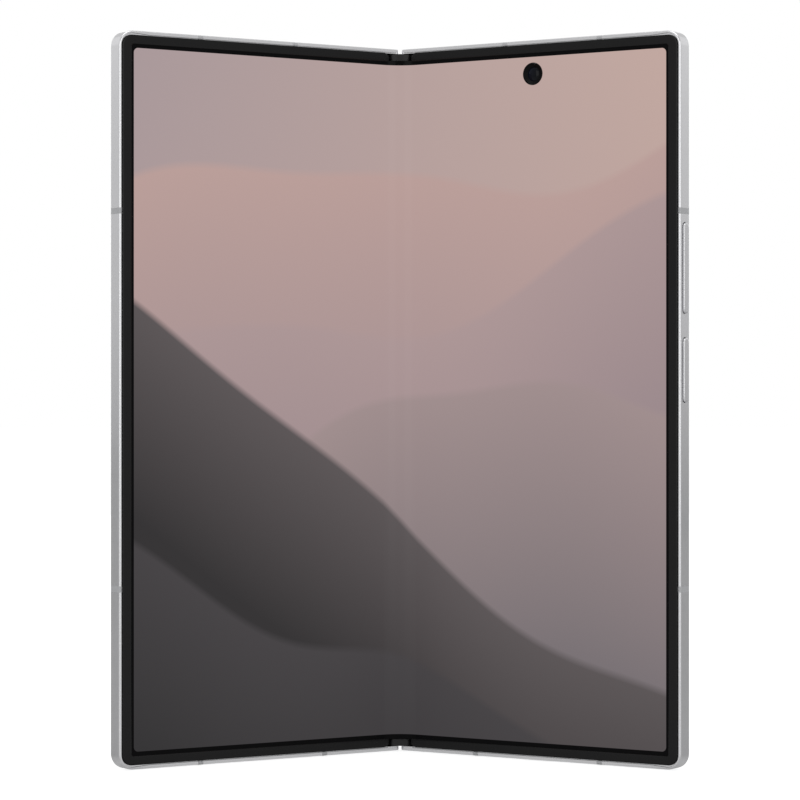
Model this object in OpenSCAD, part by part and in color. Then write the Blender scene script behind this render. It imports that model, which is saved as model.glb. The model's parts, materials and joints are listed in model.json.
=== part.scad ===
// Book-style foldable smartphone, standing half open on its bottom edges.
// Each half is drawn as if it lay open and flat: X runs outward from the fold, Y runs from
// the inner screen's face at 0 to the back at half_t, and Z runs up from the bottom edge.
// in_right() and in_left() swing a half about its hinge axis into the modelled pose.
// The left half is drawn on +X too and mirrored.

/* [Overall] */
// Width of the phone, open and flat
open_w = 143.2; // [136:0.1:156]
// Height of the phone
body_h = 158.4; // [150:0.1:172]
// Thickness of each half
half_t = 4.2; // [4.1:0.05:4.8]
// Angle that each half is swung forward from flat
fold_angle = 32.5; // [10:0.5:45]

/* [Frame] */
// Radius of the frame's outer corners
corner_r = 3.3; // [2.8:0.1:5]
// Wall of the long outer side
side_wall = 2.0; // [1.6:0.05:2.2]
// Wall of the top and bottom
end_wall = 1.6; // [1.4:0.05:1.8]
// Wall of the top and bottom where they reach over the hinge
hinge_end_wall = 1.0; // [0.8:0.05:1.2]
// Bevel on the frame's outer edges
edge_bevel = 0.28; // [0.15:0.01:0.4]
// Thickness of the plate behind the inner screen
web_t = 0.5; // [0.4:0.05:0.6]
// Height of the ribs on that plate
rib_h = 1.2; // [0.6:0.1:1.5]
// Thickness of those ribs
rib_t = 0.6; // [0.4:0.1:1]
// Width of each antenna band
band_w = 1.3; // [0.8:0.1:1.8]
// Distance of the antenna bands on the side from the nearer end
side_band_from_end = 38.7; // [36:0.1:38.9]
// Distance of the outer bands on the ends from the side
end_band_from_side = 19.8; // [16:0.1:22]
// Distance of the inner band on the top from the fold
top_band_x = 28.0; // [25:0.1:30]
// Distance of the inner band on the bottom from the fold
bottom_band_x = 20.4; // [19:0.1:21.5]

/* [Screen and bezel] */
// Thickness of the folding screen
panel_t = 0.65; // [0.5:0.01:0.7]
// Radius of the screen's face at the bend in the modelled pose
bend_r = 7.0; // [5:0.1:9]
// Bright edge left between the frame's side and the bezel
bezel_inset_side = 0.6; // [0.5:0.05:0.8]
// Bright edge left between the frame's ends and the bezel
bezel_inset_end = 0.85; // [0.7:0.05:1]
// Width of the bezel along the side
bezel_side_w = 2.3; // [1.8:0.1:2.8]
// Width of the bezel along the ends
bezel_end_w = 2.0; // [1.8:0.1:2.4]
// Height of the bezel over the frame's face
bezel_h = 0.2; // [0.1:0.01:0.22]
// Start of the bezel from the fold
bezel_start_x = 3.8; // [3.7:0.05:4.5]
// Outer corner radius of the bezel
bezel_r = 2.3; // [1.5:0.1:3]
// Diameter of the camera hole in the inner screen
punch_d = 4.8; // [3.5:0.1:6]
// Distance of the camera hole from the fold
punch_x = 35.15; // [30:0.05:45]
// Distance of the camera hole's centre from the top
punch_from_top = 7.45; // [6.5:0.05:9]

/* [Hinge] */
// Distance of each hinge axis from the fold
axis_x = 1.5; // [1.45:0.01:1.56]
// Gap between the halves' faces when shut
shut_gap = 0.5; // [0.46:0.01:0.6]
// Thickness of the half's lip over the spine
lip_t = 0.45; // [0.4:0.01:0.5]
// Distance of the lip's edge from the fold
lip_x = 0.35; // [0.2:0.01:0.5]
// Running gap round the spine
spine_gap = 0.12; // [0.1:0.01:0.14]
// Wall of the spine cover
spine_wall = 0.35; // [0.3:0.01:0.4]
// Gap between the spine's ends and the end walls
spine_end_gap = 0.34; // [0.2:0.02:0.6]
// Length of the black caps at the spine's ends
end_cap_l = 1.36; // [1.2:0.02:1.5]
// Radius of the hinge pins
pin_r = 0.28; // [0.24:0.01:0.3]
// Running clearance of bores on their pins
pin_gap = 0.02; // [0.01:0.005:0.03]
// Clearance of pins in the brackets that hold them
seat_gap = 0.01; // [0.01:0.005:0.02]
// Module of the timing gears
gear_module = 0.14; // [0.13:0.002:0.142]
// Teeth of each timing gear
gear_teeth = 10; // [10:2:10]
// Backlash of the timing gears
gear_backlash = 0.04; // [0.03:0.01:0.05]
// Distance of each hinge module from the nearer end
module_from_end = 38; // [34:0.5:42]
// Length of each hinge module
module_l = 15; // [14.5:0.5:17]
// Thickness of the bracket's plates
bracket_plate_t = 2.1; // [1.8:0.1:2.4]
// Thickness of the arm at the hinge pin
arm_w = 2.8; // [2.4:0.1:3]
// Width of the arm's flange along the hinge
flange_w = 9.4; // [8.5:0.1:11]
// End of the arm's flange from the fold
flange_end_x = 12.5; // [11.5:0.1:12.8]
// Thickness of the arm
arm_t = 0.75; // [0.6:0.01:0.8]
// Thickness of the plate under the screen beside the hinge
support_t = 0.2; // [0.15:0.01:0.22]
// Turns of each torque spring
spring_turns = 8; // [6:1:10]
// Wire radius of the torque springs
spring_wire_r = 0.08; // [0.06:0.005:0.085]

/* [Keys] */
// Length of the volume key
volume_l = 19.4; // [17:0.1:20]
// The volume key's centre below the top
volume_from_top = 50.95; // [50.8:0.05:51.6]
// Length of the side key
side_key_l = 13.8; // [12:0.1:15]
// The side key's centre below the top
side_key_from_top = 72.8; // [71.4:0.1:74.4]
// Width of the keys across the side
key_w = 2.2; // [1.9:0.05:2.3]
// How far the keys stand out of the side
key_out = 0.45; // [0.3:0.05:0.6]
// Clearance round the keys
key_gap = 0.12; // [0.1:0.01:0.15]
// Travel left behind the keys
key_travel_gap = 0.3; // [0.26:0.01:0.32]

/* [Back and cameras] */
// Thickness of the back glass and of the cover glass
glass_t = 0.6; // [0.5:0.01:0.65]
// Metal edge left round the glass
glass_inset = 0.8; // [0.6:0.05:1]
// Start of the glass from the fold
glass_start_x = 5.3; // [5.25:0.05:5.8]
// Corner radius of the glass
glass_r = 2.5; // [1.5:0.1:3]
// Clearance round the glass
glass_gap = 0.05; // [0.03:0.01:0.1]
// Width of the camera island
island_w = 19.5; // [18:0.1:21]
// Height of the camera island
island_h = 54; // [50:0.5:58]
// Thickness of the camera island
island_t = 0.9; // [0.6:0.05:1.2]
// Distance of the island's edge from the side
island_from_side = 4.4; // [4:0.1:5]
// Distance of the island's top from the top
island_from_top = 7.2; // [6:0.1:9]
// Distance between the camera lenses
lens_pitch = 17.0; // [16:0.1:18]
// Outer radius of the lens rings
ring_r = 7.0; // [6:0.1:7.4]
// Wall of the lens rings
ring_wall = 0.95; // [0.6:0.05:1.2]
// How far the lens rings stand out of the island
ring_out = 0.6; // [0.3:0.05:0.8]
// Radius of the flash window
flash_r = 1.9; // [1.5:0.1:2.2]

/* [Ports and tray] */
// Distance of the charging port from the fold
port_x = 35.8; // [34:0.1:37]
// Outer width of the charging port's shell
port_w = 8.7; // [8.5:0.05:8.9]
// Outer height of the charging port's shell
port_h = 2.86; // [2.8:0.01:2.88]
// Sheet thickness of the charging port's shell
port_wall = 0.16; // [0.12:0.01:0.2]
// Depth of the charging port
port_depth = 7.2; // [6.5:0.1:7.6]
// Diameter of the speaker holes
speaker_hole_d = 1.1; // [0.8:0.05:1.3]
// Number of the speaker holes
speaker_holes = 6; // [4:1:6]
// Distance between the speaker holes
speaker_pitch = 2.0; // [1.7:0.05:2.1]
// Distance of the tray from the fold
tray_x = 30.0; // [29:0.1:34]
// Width of the tray's face
tray_face_w = 14.5; // [13.6:0.1:15]
// Height of the tray's face
tray_face_h = 2.0; // [1.8:0.05:2.2]
// Length of the tray behind its face
tray_l = 15.5; // [14:0.1:16]
// Width of the tray behind its face
tray_w = 12.4; // [12:0.1:12.6]
// Thickness of the tray behind its face
tray_t = 0.8; // [0.6:0.05:0.9]

/* [Hidden] */
$fn = 48;
eps = 0.01;
cut = 1;                       // how far a cutter runs past the face that it cuts

half_w = open_w / 2;
mid_z = body_h / 2;
mid_y = half_t / 2;            // middle of a half's thickness

// Hinge axes: the shut gap fixes their depth, and the lip the spine's radius
axis_y = axis_x - shut_gap / 2;
cavity_r = half_t - axis_y - lip_t;
spine_r = cavity_r - spine_gap;
spine_in_r = spine_r - spine_wall;
spine_z0 = hinge_end_wall + spine_end_gap;
spine_l = body_h - 2 * spine_z0;

// Depths of the layers in a half, from the screen's face
web_y = panel_t;
bay_y0 = web_y + web_t;
glass_y = half_t - glass_t;
arm_y0 = panel_t + support_t;
arm_y1 = arm_y0 + arm_t;
shelf_t = 0.6;
glass_ledge = 1.2;
shelf_x = flange_end_x + 0.7;  // where the plate behind the screen steps back to the hinge shelf
web_x = shelf_x + 0.8;
barrel_x = axis_x + cavity_r + 0.95; // outer face of the wall round the spine
end_relief_x = barrel_x + 1.05;      // the end walls are thin up to here

// Bend of the screen: an arc tangent to both halves
vertex_x = axis_x - (axis_x - axis_y * sin(fold_angle)) / cos(fold_angle);
vertex_y = axis_y - (vertex_x - axis_x) * sin(fold_angle) - axis_y * cos(fold_angle);
bend_x = vertex_x + bend_r * tan(fold_angle);
bend_centre_y = vertex_y - bend_r / cos(fold_angle);
panel_side_gap = 0.2;
panel_end_x = half_w - side_wall - panel_side_gap;
panel_z0 = end_wall + panel_side_gap;
bend_z0 = spine_z0 + end_cap_l + 0.2;

// World depth of a half's point, and the shift that puts the origin mid-depth
function swung_y(x, y) = axis_y - (x - axis_x) * sin(fold_angle) + (y - axis_y) * cos(fold_angle);
front_y = min(
    swung_y(half_w, edge_bevel),
    swung_y(half_w - edge_bevel, 0),
    swung_y(half_w - bezel_inset_side, -bezel_h)
);
back_y = swung_y(lip_x, half_t);
origin_y = -(front_y + back_y) / 2;

// Timing gears
gear_r = gear_module * gear_teeth / 2;
gear_tip_r = gear_r + 0.8 * gear_module;
gear_root_r = gear_r - 1.25 * gear_module;
pressure_angle = 20;
tooth_pitch = 360 / gear_teeth;
idler_x = gear_r;
idler_y = axis_y + sqrt(4 * gear_r * gear_r - (axis_x - idler_x) * (axis_x - idler_x));
mesh_angle = atan2(idler_y - axis_y, idler_x - axis_x);
right_arm_tooth = mesh_angle;
right_idler_tooth = mesh_angle + 180 + tooth_pitch / 2;
left_idler_tooth = 180 - right_idler_tooth + tooth_pitch / 2;
left_mesh_angle = atan2(axis_y - idler_y, idler_x - axis_x);
left_arm_tooth = 2 * left_mesh_angle + 180 - left_idler_tooth + tooth_pitch / 2;
teeth_from = mesh_angle - tooth_pitch; // the arm is toothed over this turn only, counted lying flat
teeth_to = mesh_angle + 90 + 0.6 * tooth_pitch;
idler_pin_r = pin_r - 0.03;
screw_r = 0.45;
screw_head_r = 0.9;
screw_head_t = 0.25;

// Heights of the hinge modules, and the places along one
module_z = [module_from_end, body_h - module_from_end - module_l];
arm_z = bracket_plate_t + 0.2;
cam_h = 0.5;
cam_z = arm_z + arm_w;
follower_z = cam_z + cam_h + 0.03;
follower_t = 1.5;
spring_z = follower_z + cam_h + follower_t;
spring_l = module_l - bracket_plate_t - spring_z;
spring_r = pin_r + 0.06 + spring_wire_r;

// Keys, island and ports
key_wall = 0.8;
key_flange_t = 0.5;
key_flange_x1 = half_w - key_wall - key_travel_gap;
key_flange_out = 0.8;          // how far the flange reaches past the key's ends
key_flange_h = key_w + 0.4;
key_pocket_gap = 0.1;
volume_z = body_h - volume_from_top;
side_key_z = body_h - side_key_from_top;
island_x = half_w - island_from_side - island_w / 2;
island_z = body_h - island_from_top - island_h / 2;
lens_r = ring_r - ring_wall - 0.05;
lens_hole_r = ring_r + 0.05;
module_r = 4.2;
flash_x = island_x - island_w / 2 - flash_r - 2.2;
flash_z = island_z + lens_pitch;
punch_z = body_h - punch_from_top;
speaker_x0 = port_x + port_w / 2 + 6.5;
top_mic_x = 38;
top_speaker_x = 30.4;          // the first hole of the top speaker
tray_clear = 0.15;
tray_seat_z = end_wall / 2;    // the tray's face lies in the outer half of the wall
mic_d = 0.7;
top_holes = 3;
port_recess = 0.1;
key_step = 0.12;               // bevel of the keys, drawn as a step

// Boards, batteries, cover screen and ribbon cable
board_y = bay_y0 + 0.5;
board_t = 0.6;
post_r = 1.2;
board_l = 55.9;
board_z0 = body_h - 3 - board_l;
can_h = 0.95;
can_wall = 0.15;
can_w = 13;
can_l = 17.5;
can_gap = 1.5;
battery_inset = 1.5;
battery_gap = 3.5;
rib_gap = 1.5;
right_battery_z = [33.5, board_z0 - battery_gap];
cover_board_l = 20;
cover_board_z = body_h - 15.4 - cover_board_l;
left_battery_z = [28.5, cover_board_z - 3];
coil_r = 21;
coil_hole_r = 10.5;
coil_step = 2;
lower_board_w = 18;
motor_w = 7;
magnet_l = 12;
magnet_t = 1.5;
magnet_from_end = 10;
switch_offset = 5.5;
top_speaker_w = 16.7;
top_speaker_l = 9;
cover_display_t = 0.4;
cover_camera_x = 38;
cover_camera_z = body_h - 7.5;
cover_camera_d = 3.6;
flex_t = 0.12;
flex_w = 9;

// ---------------------------------------------------------------- placing

module in_hinge() {
    translate([0, origin_y, 0]) children();
}

module in_right() {
    in_hinge()
        translate([axis_x, axis_y, 0])
        rotate([0, 0, -fold_angle])
        translate([-axis_x, -axis_y, 0])
        children();
}

module in_left() {
    mirror([1, 0, 0]) in_right() children();
}

module both_ends() {
    children();
    translate([0, 0, body_h]) mirror([0, 0, 1]) children();
}

module both_sides() {
    children();
    mirror([1, 0, 0]) children();
}

module each_module() {
    for (z = module_z) translate([0, 0, z]) children();
}

// Box given by its low and high corners
module span(low, high) {
    translate(low) cube(high - low);
}

// Flat outline in X and Z, made thick along Y
module along_y(y0, y1) {
    translate([0, y1, 0]) rotate([90, 0, 0]) linear_extrude(y1 - y0) children();
}

// Outline in Y and Z with its middle at the origin, made thick along X
module along_x(x0, x1) {
    translate([x0, 0, 0]) rotate([90, 0, 90]) linear_extrude(x1 - x0) children();
}

// Rectangle whose four corners are round
module rounded(low, high, r) {
    size = high - low;
    translate(low + [r, 0]) square([size.x - 2 * r, size.y]);
    translate(low + [0, r]) square([size.x, size.y - 2 * r]);
    for (x = [low.x + r, high.x - r], y = [low.y + r, high.y - r])
        translate([x, y]) circle(r);
}

// Rectangle whose outer corners, at +X, are round and whose inner ones are nearly square
module half_outline(low, high, r_out, r_in) {
    size = high - low;
    translate(low + [r_in, 0]) square([size.x - r_in - r_out, size.y]);
    translate(low + [0, r_in]) square([r_in + eps, size.y - 2 * r_in]);
    translate([high.x - r_out - eps, low.y + r_out]) square([r_out + eps, size.y - 2 * r_out]);
    for (y = [low.y + r_in, high.y - r_in])
        translate([low.x + r_in, y]) circle(r_in);
    for (y = [low.y + r_out, high.y - r_out])
        translate([high.x - r_out, y]) circle(r_out);
}

// Slot with round ends along the first axis
module slot(l, w) {
    square([l - w, w], center = true);
    for (x = [-1, 1]) translate([x * (l - w) / 2, 0]) circle(w / 2);
}

module screw_rows() {
    for (z = module_z, side = [-1, 1])
        translate([flange_end_x - 2.6, 0, z + arm_z + arm_w / 2 + side * (flange_w / 2 - 1.7)])
            rotate([-90, 0, 0])
            children();
}

// ---------------------------------------------------------------- frame

// Section of the frame's rim: u runs inward from the outer face, the other axis is depth
function rim_section(wall) = [
    [edge_bevel, 0], [wall, 0], [wall, half_t], [edge_bevel, half_t],
    [0, half_t - edge_bevel], [0, edge_bevel]
];

module end_rail(wall, x0, x1) {
    translate([x0, 0, 0]) mirror([0, 0, 1]) rotate([0, 90, 0])
        linear_extrude(x1 - x0) polygon(rim_section(wall));
}

module side_rail(wall, z0, z1) {
    translate([half_w, 0, z0]) mirror([1, 0, 0])
        linear_extrude(z1 - z0) polygon(rim_section(wall));
}

module rim_corner() {
    translate([half_w - corner_r, 0, corner_r]) rotate([-90, 0, 0])
        rotate_extrude(angle = 90, $fn = 64)
        polygon([for (p = rim_section(corner_r)) [corner_r - p.x, p.y]]);
}

// End wall over the spine: round at the front so that the two halves roll past each other
module hinge_end() {
    round_r = axis_y - 0.05;
    near_x = shut_gap / 2 + 0.09;
    intersection() {
        end_rail(hinge_end_wall, near_x, end_relief_x + eps);
        linear_extrude(hinge_end_wall) {
            translate([near_x + round_r, round_r]) circle(round_r);
            translate([near_x + round_r, 0]) square([end_relief_x, half_t]);
            translate([near_x, round_r]) square([end_relief_x, half_t - round_r]);
        }
    }
}

// Wall round the spine, its lip on the back and the shelf that carries the hinge arms
module barrel_section() {
    difference() {
        translate([lip_x, arm_y1]) square([barrel_x - lip_x, half_t - arm_y1]);
        translate([axis_x, axis_y]) circle(cavity_r, $fn = 96);
        translate([-cut, 0]) square([axis_x + cut, axis_y + cavity_r]);
    }
    translate([barrel_x - eps, arm_y1]) square([shelf_x - barrel_x + 2 * eps, shelf_t]);
    translate([shelf_x, web_y]) square([web_x - shelf_x, arm_y1 + shelf_t - web_y]);
    // strip along the glass and the ledge under its edge
    translate([barrel_x - eps, glass_y - glass_t]) square([glass_ledge, 2 * glass_t]);
}

module frame_blank() {
    side_rail(side_wall, corner_r - eps, body_h - corner_r + eps);
    both_ends() {
        end_rail(end_wall, end_relief_x, half_w - corner_r + eps);
        rim_corner();
        hinge_end();
    }
    translate([0, 0, hinge_end_wall - eps])
        linear_extrude(body_h - 2 * hinge_end_wall + 2 * eps)
        barrel_section();
    span(
        [web_x - eps, web_y, end_wall - eps],
        [half_w - side_wall + eps, bay_y0, body_h - end_wall + eps]
    );
}

module glass_pocket() {
    along_y(glass_y, half_t + cut)
        half_outline(
            [glass_start_x, glass_inset], [half_w - glass_inset, body_h - glass_inset],
            glass_r, 0.5
        );
}

// Room for the screen at the rim's round corners
module screen_pocket() {
    along_y(-cut, panel_t)
        half_outline(
            [web_x, panel_z0 - 0.1], [panel_end_x + 0.1, body_h - panel_z0 + 0.1],
            1, 0.05
        );
}

// Cuts for the plastic bands that split the metal rim
module band_zones() {
    for (z = [side_band_from_end, body_h - side_band_from_end])
        span([half_w - side_wall, -cut, z - band_w / 2], [half_w + cut, half_t + cut, z + band_w / 2]);
    end_band(half_w - end_band_from_side, true);
    end_band(half_w - end_band_from_side, false);
    end_band(top_band_x, true);
    end_band(bottom_band_x, false);
}

module end_band(x, at_top) {
    z0 = at_top ? body_h - end_wall : -cut;
    span([x - band_w / 2, -cut, z0], [x + band_w / 2, half_t + cut, z0 + end_wall + cut]);
}

module rim_only() {
    difference() {
        union() {
            side_rail(side_wall, corner_r, body_h - corner_r);
            both_ends() end_rail(end_wall, end_relief_x, half_w - corner_r);
        }
        glass_pocket();
    }
}

module antenna_bands() {
    intersection() {
        rim_only();
        band_zones();
    }
}

module frame_ribs(zs) {
    for (z = zs)
        span(
            [web_x + 1, bay_y0 - eps, z - rib_t / 2],
            [half_w - side_wall - 4, bay_y0 + rib_h, z + rib_t / 2]
        );
}

module round_hole(x, z0, z1, d) {
    translate([x, mid_y, z0]) cylinder(h = z1 - z0, d = d, $fn = 24);
}

module arm_screw_holes() {
    screw_rows() translate([0, 0, arm_y1 - cut])
        cylinder(h = cut + shelf_t + cut, r = screw_r + seat_gap, $fn = 24);
}

module key_opening(l, z) {
    translate([0, mid_y, z]) {
        along_x(half_w - key_wall - eps, half_w + cut)
            rotate(90) slot(l + 2 * key_gap, key_w + 2 * key_gap);
        along_x(half_w - side_wall - cut, half_w - key_wall)
            square([key_flange_h + 2 * key_pocket_gap, l + 2 * key_flange_out + 0.6], center = true);
    }
}

module right_frame() {
    color("#c9cacc") in_right() difference() {
        union() {
            frame_blank();
            frame_ribs([right_battery_z[0] - rib_gap, right_battery_z[1] + rib_gap]);
        }
        glass_pocket();
        screen_pocket();
        band_zones();
        arm_screw_holes();
        key_opening(volume_l, volume_z);
        key_opening(side_key_l, side_key_z);
        // charging port, speaker, microphone
        translate([port_x, mid_y, -cut])
            linear_extrude(cut + port_recess + port_depth + 0.1) slot(port_w + 0.1, port_h + 0.1);
        for (i = [0 : speaker_holes - 1])
            round_hole(speaker_x0 + i * speaker_pitch, -cut, end_wall + cut, speaker_hole_d);
        round_hole(port_x - 9.5, -cut, end_wall + cut, mic_d);
        round_hole(top_mic_x, body_h - end_wall - cut, body_h + cut, mic_d);
        // camera through the inner screen
        translate([punch_x, 0, punch_z]) rotate([-90, 0, 0]) cylinder(h = bay_y0 + cut, d = punch_d);
        at_lenses() translate([0, 0, bay_y0 - 0.15]) cylinder(h = cut, r = module_r + 1.8);
    }
}

module top_speaker_holes(z0) {
    for (i = [0 : top_holes - 1])
        round_hole(top_speaker_x + i * speaker_pitch, z0, body_h + cut, speaker_hole_d);
}

module left_frame() {
    color("#c9cacc") in_left() difference() {
        union() {
            frame_blank();
            frame_ribs([
                left_battery_z[0] - rib_gap, left_battery_z[1] + rib_gap,
                cover_board_z + cover_board_l + rib_gap
            ]);
        }
        glass_pocket();
        screen_pocket();
        band_zones();
        arm_screw_holes();
        // card tray and top speaker
        translate([tray_x, mid_y, -cut])
            linear_extrude(tray_seat_z + cut) slot(tray_face_w + 0.1, tray_face_h + 0.1);
        translate([tray_x, mid_y, 0])
            linear_extrude(end_wall + cut)
            square([tray_w + 2 * tray_clear, tray_t + 2 * tray_clear], center = true);
        top_speaker_holes(body_h - end_wall - cut);
        round_hole(tray_x + 11, -cut, end_wall + cut, mic_d);
    }
}

module right_antenna_bands() {
    color("#a9abad") in_right() antenna_bands();
}

module left_antenna_bands() {
    color("#a9abad") in_left() antenna_bands();
}

// ---------------------------------------------------------------- screen and bezel

module bezel_outline(grow) {
    difference() {
        half_outline(
            [bezel_start_x - grow, bezel_inset_end - grow],
            [half_w - bezel_inset_side + grow, body_h - bezel_inset_end + grow],
            bezel_r, 0.4
        );
        half_outline(
            [-cut, bezel_inset_end + bezel_end_w + grow],
            [
                half_w - bezel_inset_side - bezel_side_w - grow,
                body_h - bezel_inset_end - bezel_end_w - grow
            ],
            0.6, 0.1
        );
    }
}

// Raised strip round three sides of the screen, its top edge stepped in
module bezel() {
    step_y = -0.6 * bezel_h;
    along_y(step_y, 0) bezel_outline(0);
    along_y(-bezel_h, step_y + eps) bezel_outline(-0.08);
}

module right_bezel() {
    color("#222224") in_right() bezel();
}

module left_bezel() {
    color("#222224") in_left() bezel();
}

module display_panel() {
    along_y(0, panel_t)
        half_outline([bend_x, panel_z0], [panel_end_x, body_h - panel_z0], 1, 0.05);
}

module right_display_panel() {
    color("#8f8388") in_right() difference() {
        display_panel();
        translate([punch_x, -cut, punch_z]) rotate([-90, 0, 0])
            cylinder(h = panel_t + 2 * cut, d = punch_d);
    }
}

module left_display_panel() {
    color("#8f8388") in_left() display_panel();
}

// The part of the screen that bends over the hinge
module display_bend() {
    color("#8f8388") in_hinge() translate([0, bend_centre_y, bend_z0])
        linear_extrude(body_h - 2 * bend_z0)
        intersection() {
            difference() {
                circle(bend_r + panel_t, $fn = 192);
                circle(bend_r, $fn = 192);
            }
            polygon([
                [0, 0],
                3 * bend_r * [sin(fold_angle), cos(fold_angle)],
                3 * bend_r * [-sin(fold_angle), cos(fold_angle)]
            ]);
        }
}

// ---------------------------------------------------------------- back, cover and cameras

module glass_plate() {
    along_y(glass_y, half_t)
        half_outline(
            [glass_start_x + glass_gap, glass_inset + glass_gap],
            [half_w - glass_inset - glass_gap, body_h - glass_inset - glass_gap],
            glass_r - glass_gap, 0.45
        );
}

module at_lenses() {
    for (i = [-1, 0, 1])
        translate([island_x, 0, island_z + i * lens_pitch]) rotate([-90, 0, 0]) children();
}

module back_glass() {
    color("#9da0a4") in_right() difference() {
        glass_plate();
        at_lenses() translate([0, 0, glass_y - cut])
            cylinder(h = glass_t + 2 * cut, r = lens_hole_r, $fn = 64);
        translate([flash_x, glass_y - cut, flash_z]) rotate([-90, 0, 0])
            cylinder(h = glass_t + 2 * cut, r = flash_r + 0.05);
    }
}

module camera_island() {
    color("#b9bbbe") in_right() difference() {
        translate([island_x, 0, island_z])
            along_y(half_t, half_t + island_t) rotate(90) slot(island_h, island_w, $fn = 96);
        at_lenses() translate([0, 0, half_t - cut])
            cylinder(h = island_t + 2 * cut, r = lens_hole_r, $fn = 64);
    }
}

module camera_rings() {
    color("#d7d8da") in_right() at_lenses() translate([0, 0, glass_y]) difference() {
        cylinder(h = glass_t + island_t + ring_out, r = ring_r, $fn = 64);
        translate([0, 0, -cut]) cylinder(h = 10, r = ring_r - ring_wall, $fn = 64);
    }
}

module camera_lenses() {
    color("#101216") in_right() at_lenses()
        translate([0, 0, half_t + island_t - 0.3]) cylinder(h = 0.6, r = lens_r, $fn = 64);
}

module camera_modules() {
    color("#1a1a1c") in_right() at_lenses() {
        translate([0, 0, bay_y0]) cylinder(h = half_t + island_t - 0.5 - bay_y0, r = module_r);
        translate([-5.5, -5.5, bay_y0]) cube([11, 11, 1.6]);
    }
}

module flash_lens() {
    color("#f2ecd2") in_right() translate([flash_x, glass_y - 0.2, flash_z]) rotate([-90, 0, 0])
        cylinder(h = glass_t + 0.25, r = flash_r);
}

// Camera that looks through the hole in the inner screen
module front_camera() {
    color("#0c0d10") in_right() translate([punch_x, 0.05, punch_z]) rotate([-90, 0, 0]) {
        cylinder(h = 2.4, d = punch_d - 0.1);
        translate([-3.1, -3.1, bay_y0]) cube([6.2, 6.2, 1.9]);
    }
}

module cover_glass() {
    color("#0b0c0e") in_left() glass_plate();
}

module cover_display() {
    color("#15171c") in_left() difference() {
        along_y(glass_y - cover_display_t, glass_y)
            half_outline([glass_start_x + 1.6, 3], [half_w - 2.6, body_h - 3], 1.5, 0.3);
        translate([cover_camera_x, glass_y - 2, cover_camera_z]) rotate([-90, 0, 0])
            cylinder(h = 3, d = cover_camera_d + 0.1);
    }
}

module cover_camera() {
    color("#0c0d10") in_left() translate([cover_camera_x, bay_y0, cover_camera_z]) rotate([-90, 0, 0]) {
        cylinder(h = glass_y - bay_y0, d = cover_camera_d);
        translate([-2.7, -2.7, 0]) cube([5.4, 5.4, 1.5]);
    }
}

// ---------------------------------------------------------------- keys

// Key cap with its edges stepped, on a flange that the wall holds in
module key(l, z) {
    outer_x = half_w + key_out;
    translate([0, mid_y, z]) {
        along_x(key_flange_x1 - eps, outer_x - key_step) rotate(90) slot(l, key_w);
        along_x(outer_x - key_step - eps, outer_x)
            rotate(90) slot(l - 2 * key_step, key_w - 2 * key_step);
        along_x(key_flange_x1 - key_flange_t, key_flange_x1)
            square([key_flange_h, l + 2 * key_flange_out], center = true);
    }
}

module volume_key() {
    color("#c2c3c5") in_right() key(volume_l, volume_z);
}

module side_key() {
    color("#c2c3c5") in_right() key(side_key_l, side_key_z);
}

module key_switches() {
    face_x = key_flange_x1 - key_flange_t - key_travel_gap;
    color("#d8c37a") in_right()
        for (z = [volume_z - switch_offset, volume_z + switch_offset, side_key_z]) {
            span([face_x - 0.9, mid_y - 0.8, z - 1.6], [face_x - 0.25, mid_y + 0.8, z + 1.6]);
            translate([0, mid_y, z]) along_x(face_x - 0.25 - eps, face_x) circle(0.5);
        }
}

// ---------------------------------------------------------------- inside the right half

module board_post(x, z) {
    translate([x, bay_y0, z]) rotate([-90, 0, 0]) cylinder(h = board_y - bay_y0 + eps, r = post_r);
}

module mainboard() {
    right_x = island_x - 8.6;
    color("#1f4d38") in_right() difference() {
        union() {
            span([web_x + 1, board_y, board_z0], [right_x, board_y + board_t, board_z0 + board_l]);
            for (x = [web_x + 4, right_x - 2.9], z = [board_z0 + 3.5, board_z0 + board_l - 3.5])
                board_post(x, z);
        }
        translate([punch_x, bay_y0 - cut, punch_z]) rotate([-90, 0, 0]) cylinder(h = 5, r = 4.8);
    }
}

module shield_can(x, z, w, h) {
    y0 = board_y + board_t;
    difference() {
        span([x, y0, z], [x + w, y0 + can_h, z + h]);
        span(
            [x + can_wall, y0 - eps, z + can_wall],
            [x + w - can_wall, y0 + can_h - can_wall, z + h - can_wall]
        );
    }
}

module shield_cans() {
    color("#b4b6b8") in_right() {
        z = board_z0 + 6.5;
        shield_can(web_x + 2, z, can_w, can_l);
        shield_can(web_x + 2, z + can_l + can_gap, can_w, can_l);
        shield_can(web_x + 2 + can_w + can_gap, z, 0.6 * can_w, 1.7 * can_l);
    }
}

module right_battery() {
    color("#26272b") in_right()
        along_y(bay_y0, glass_y - 0.25)
        rounded(
            [web_x + battery_inset, right_battery_z[0]],
            [half_w - side_wall - 2.5, right_battery_z[1]],
            1.2
        );
}

// Wireless charging coil: flat rings on a ferrite sheet
module charging_coil() {
    y0 = glass_y - 0.25;
    z = (right_battery_z[0] + right_battery_z[1]) / 2;
    color("#b87333") in_right() translate([half_w / 2 + 5, y0, z]) rotate([-90, 0, 0])
        difference() {
            cylinder(h = 0.2, r = coil_r, $fn = 72);
            translate([0, 0, -cut]) cylinder(h = 3, r = coil_hole_r, $fn = 72);
            for (r = [coil_hole_r + coil_step : coil_step : coil_r - coil_step])
                translate([0, 0, 0.12]) difference() {
                    cylinder(h = 1, r = r + 0.25, $fn = 72);
                    translate([0, 0, -cut]) cylinder(h = 3, r = r - 0.25, $fn = 72);
                }
        }
}

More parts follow.
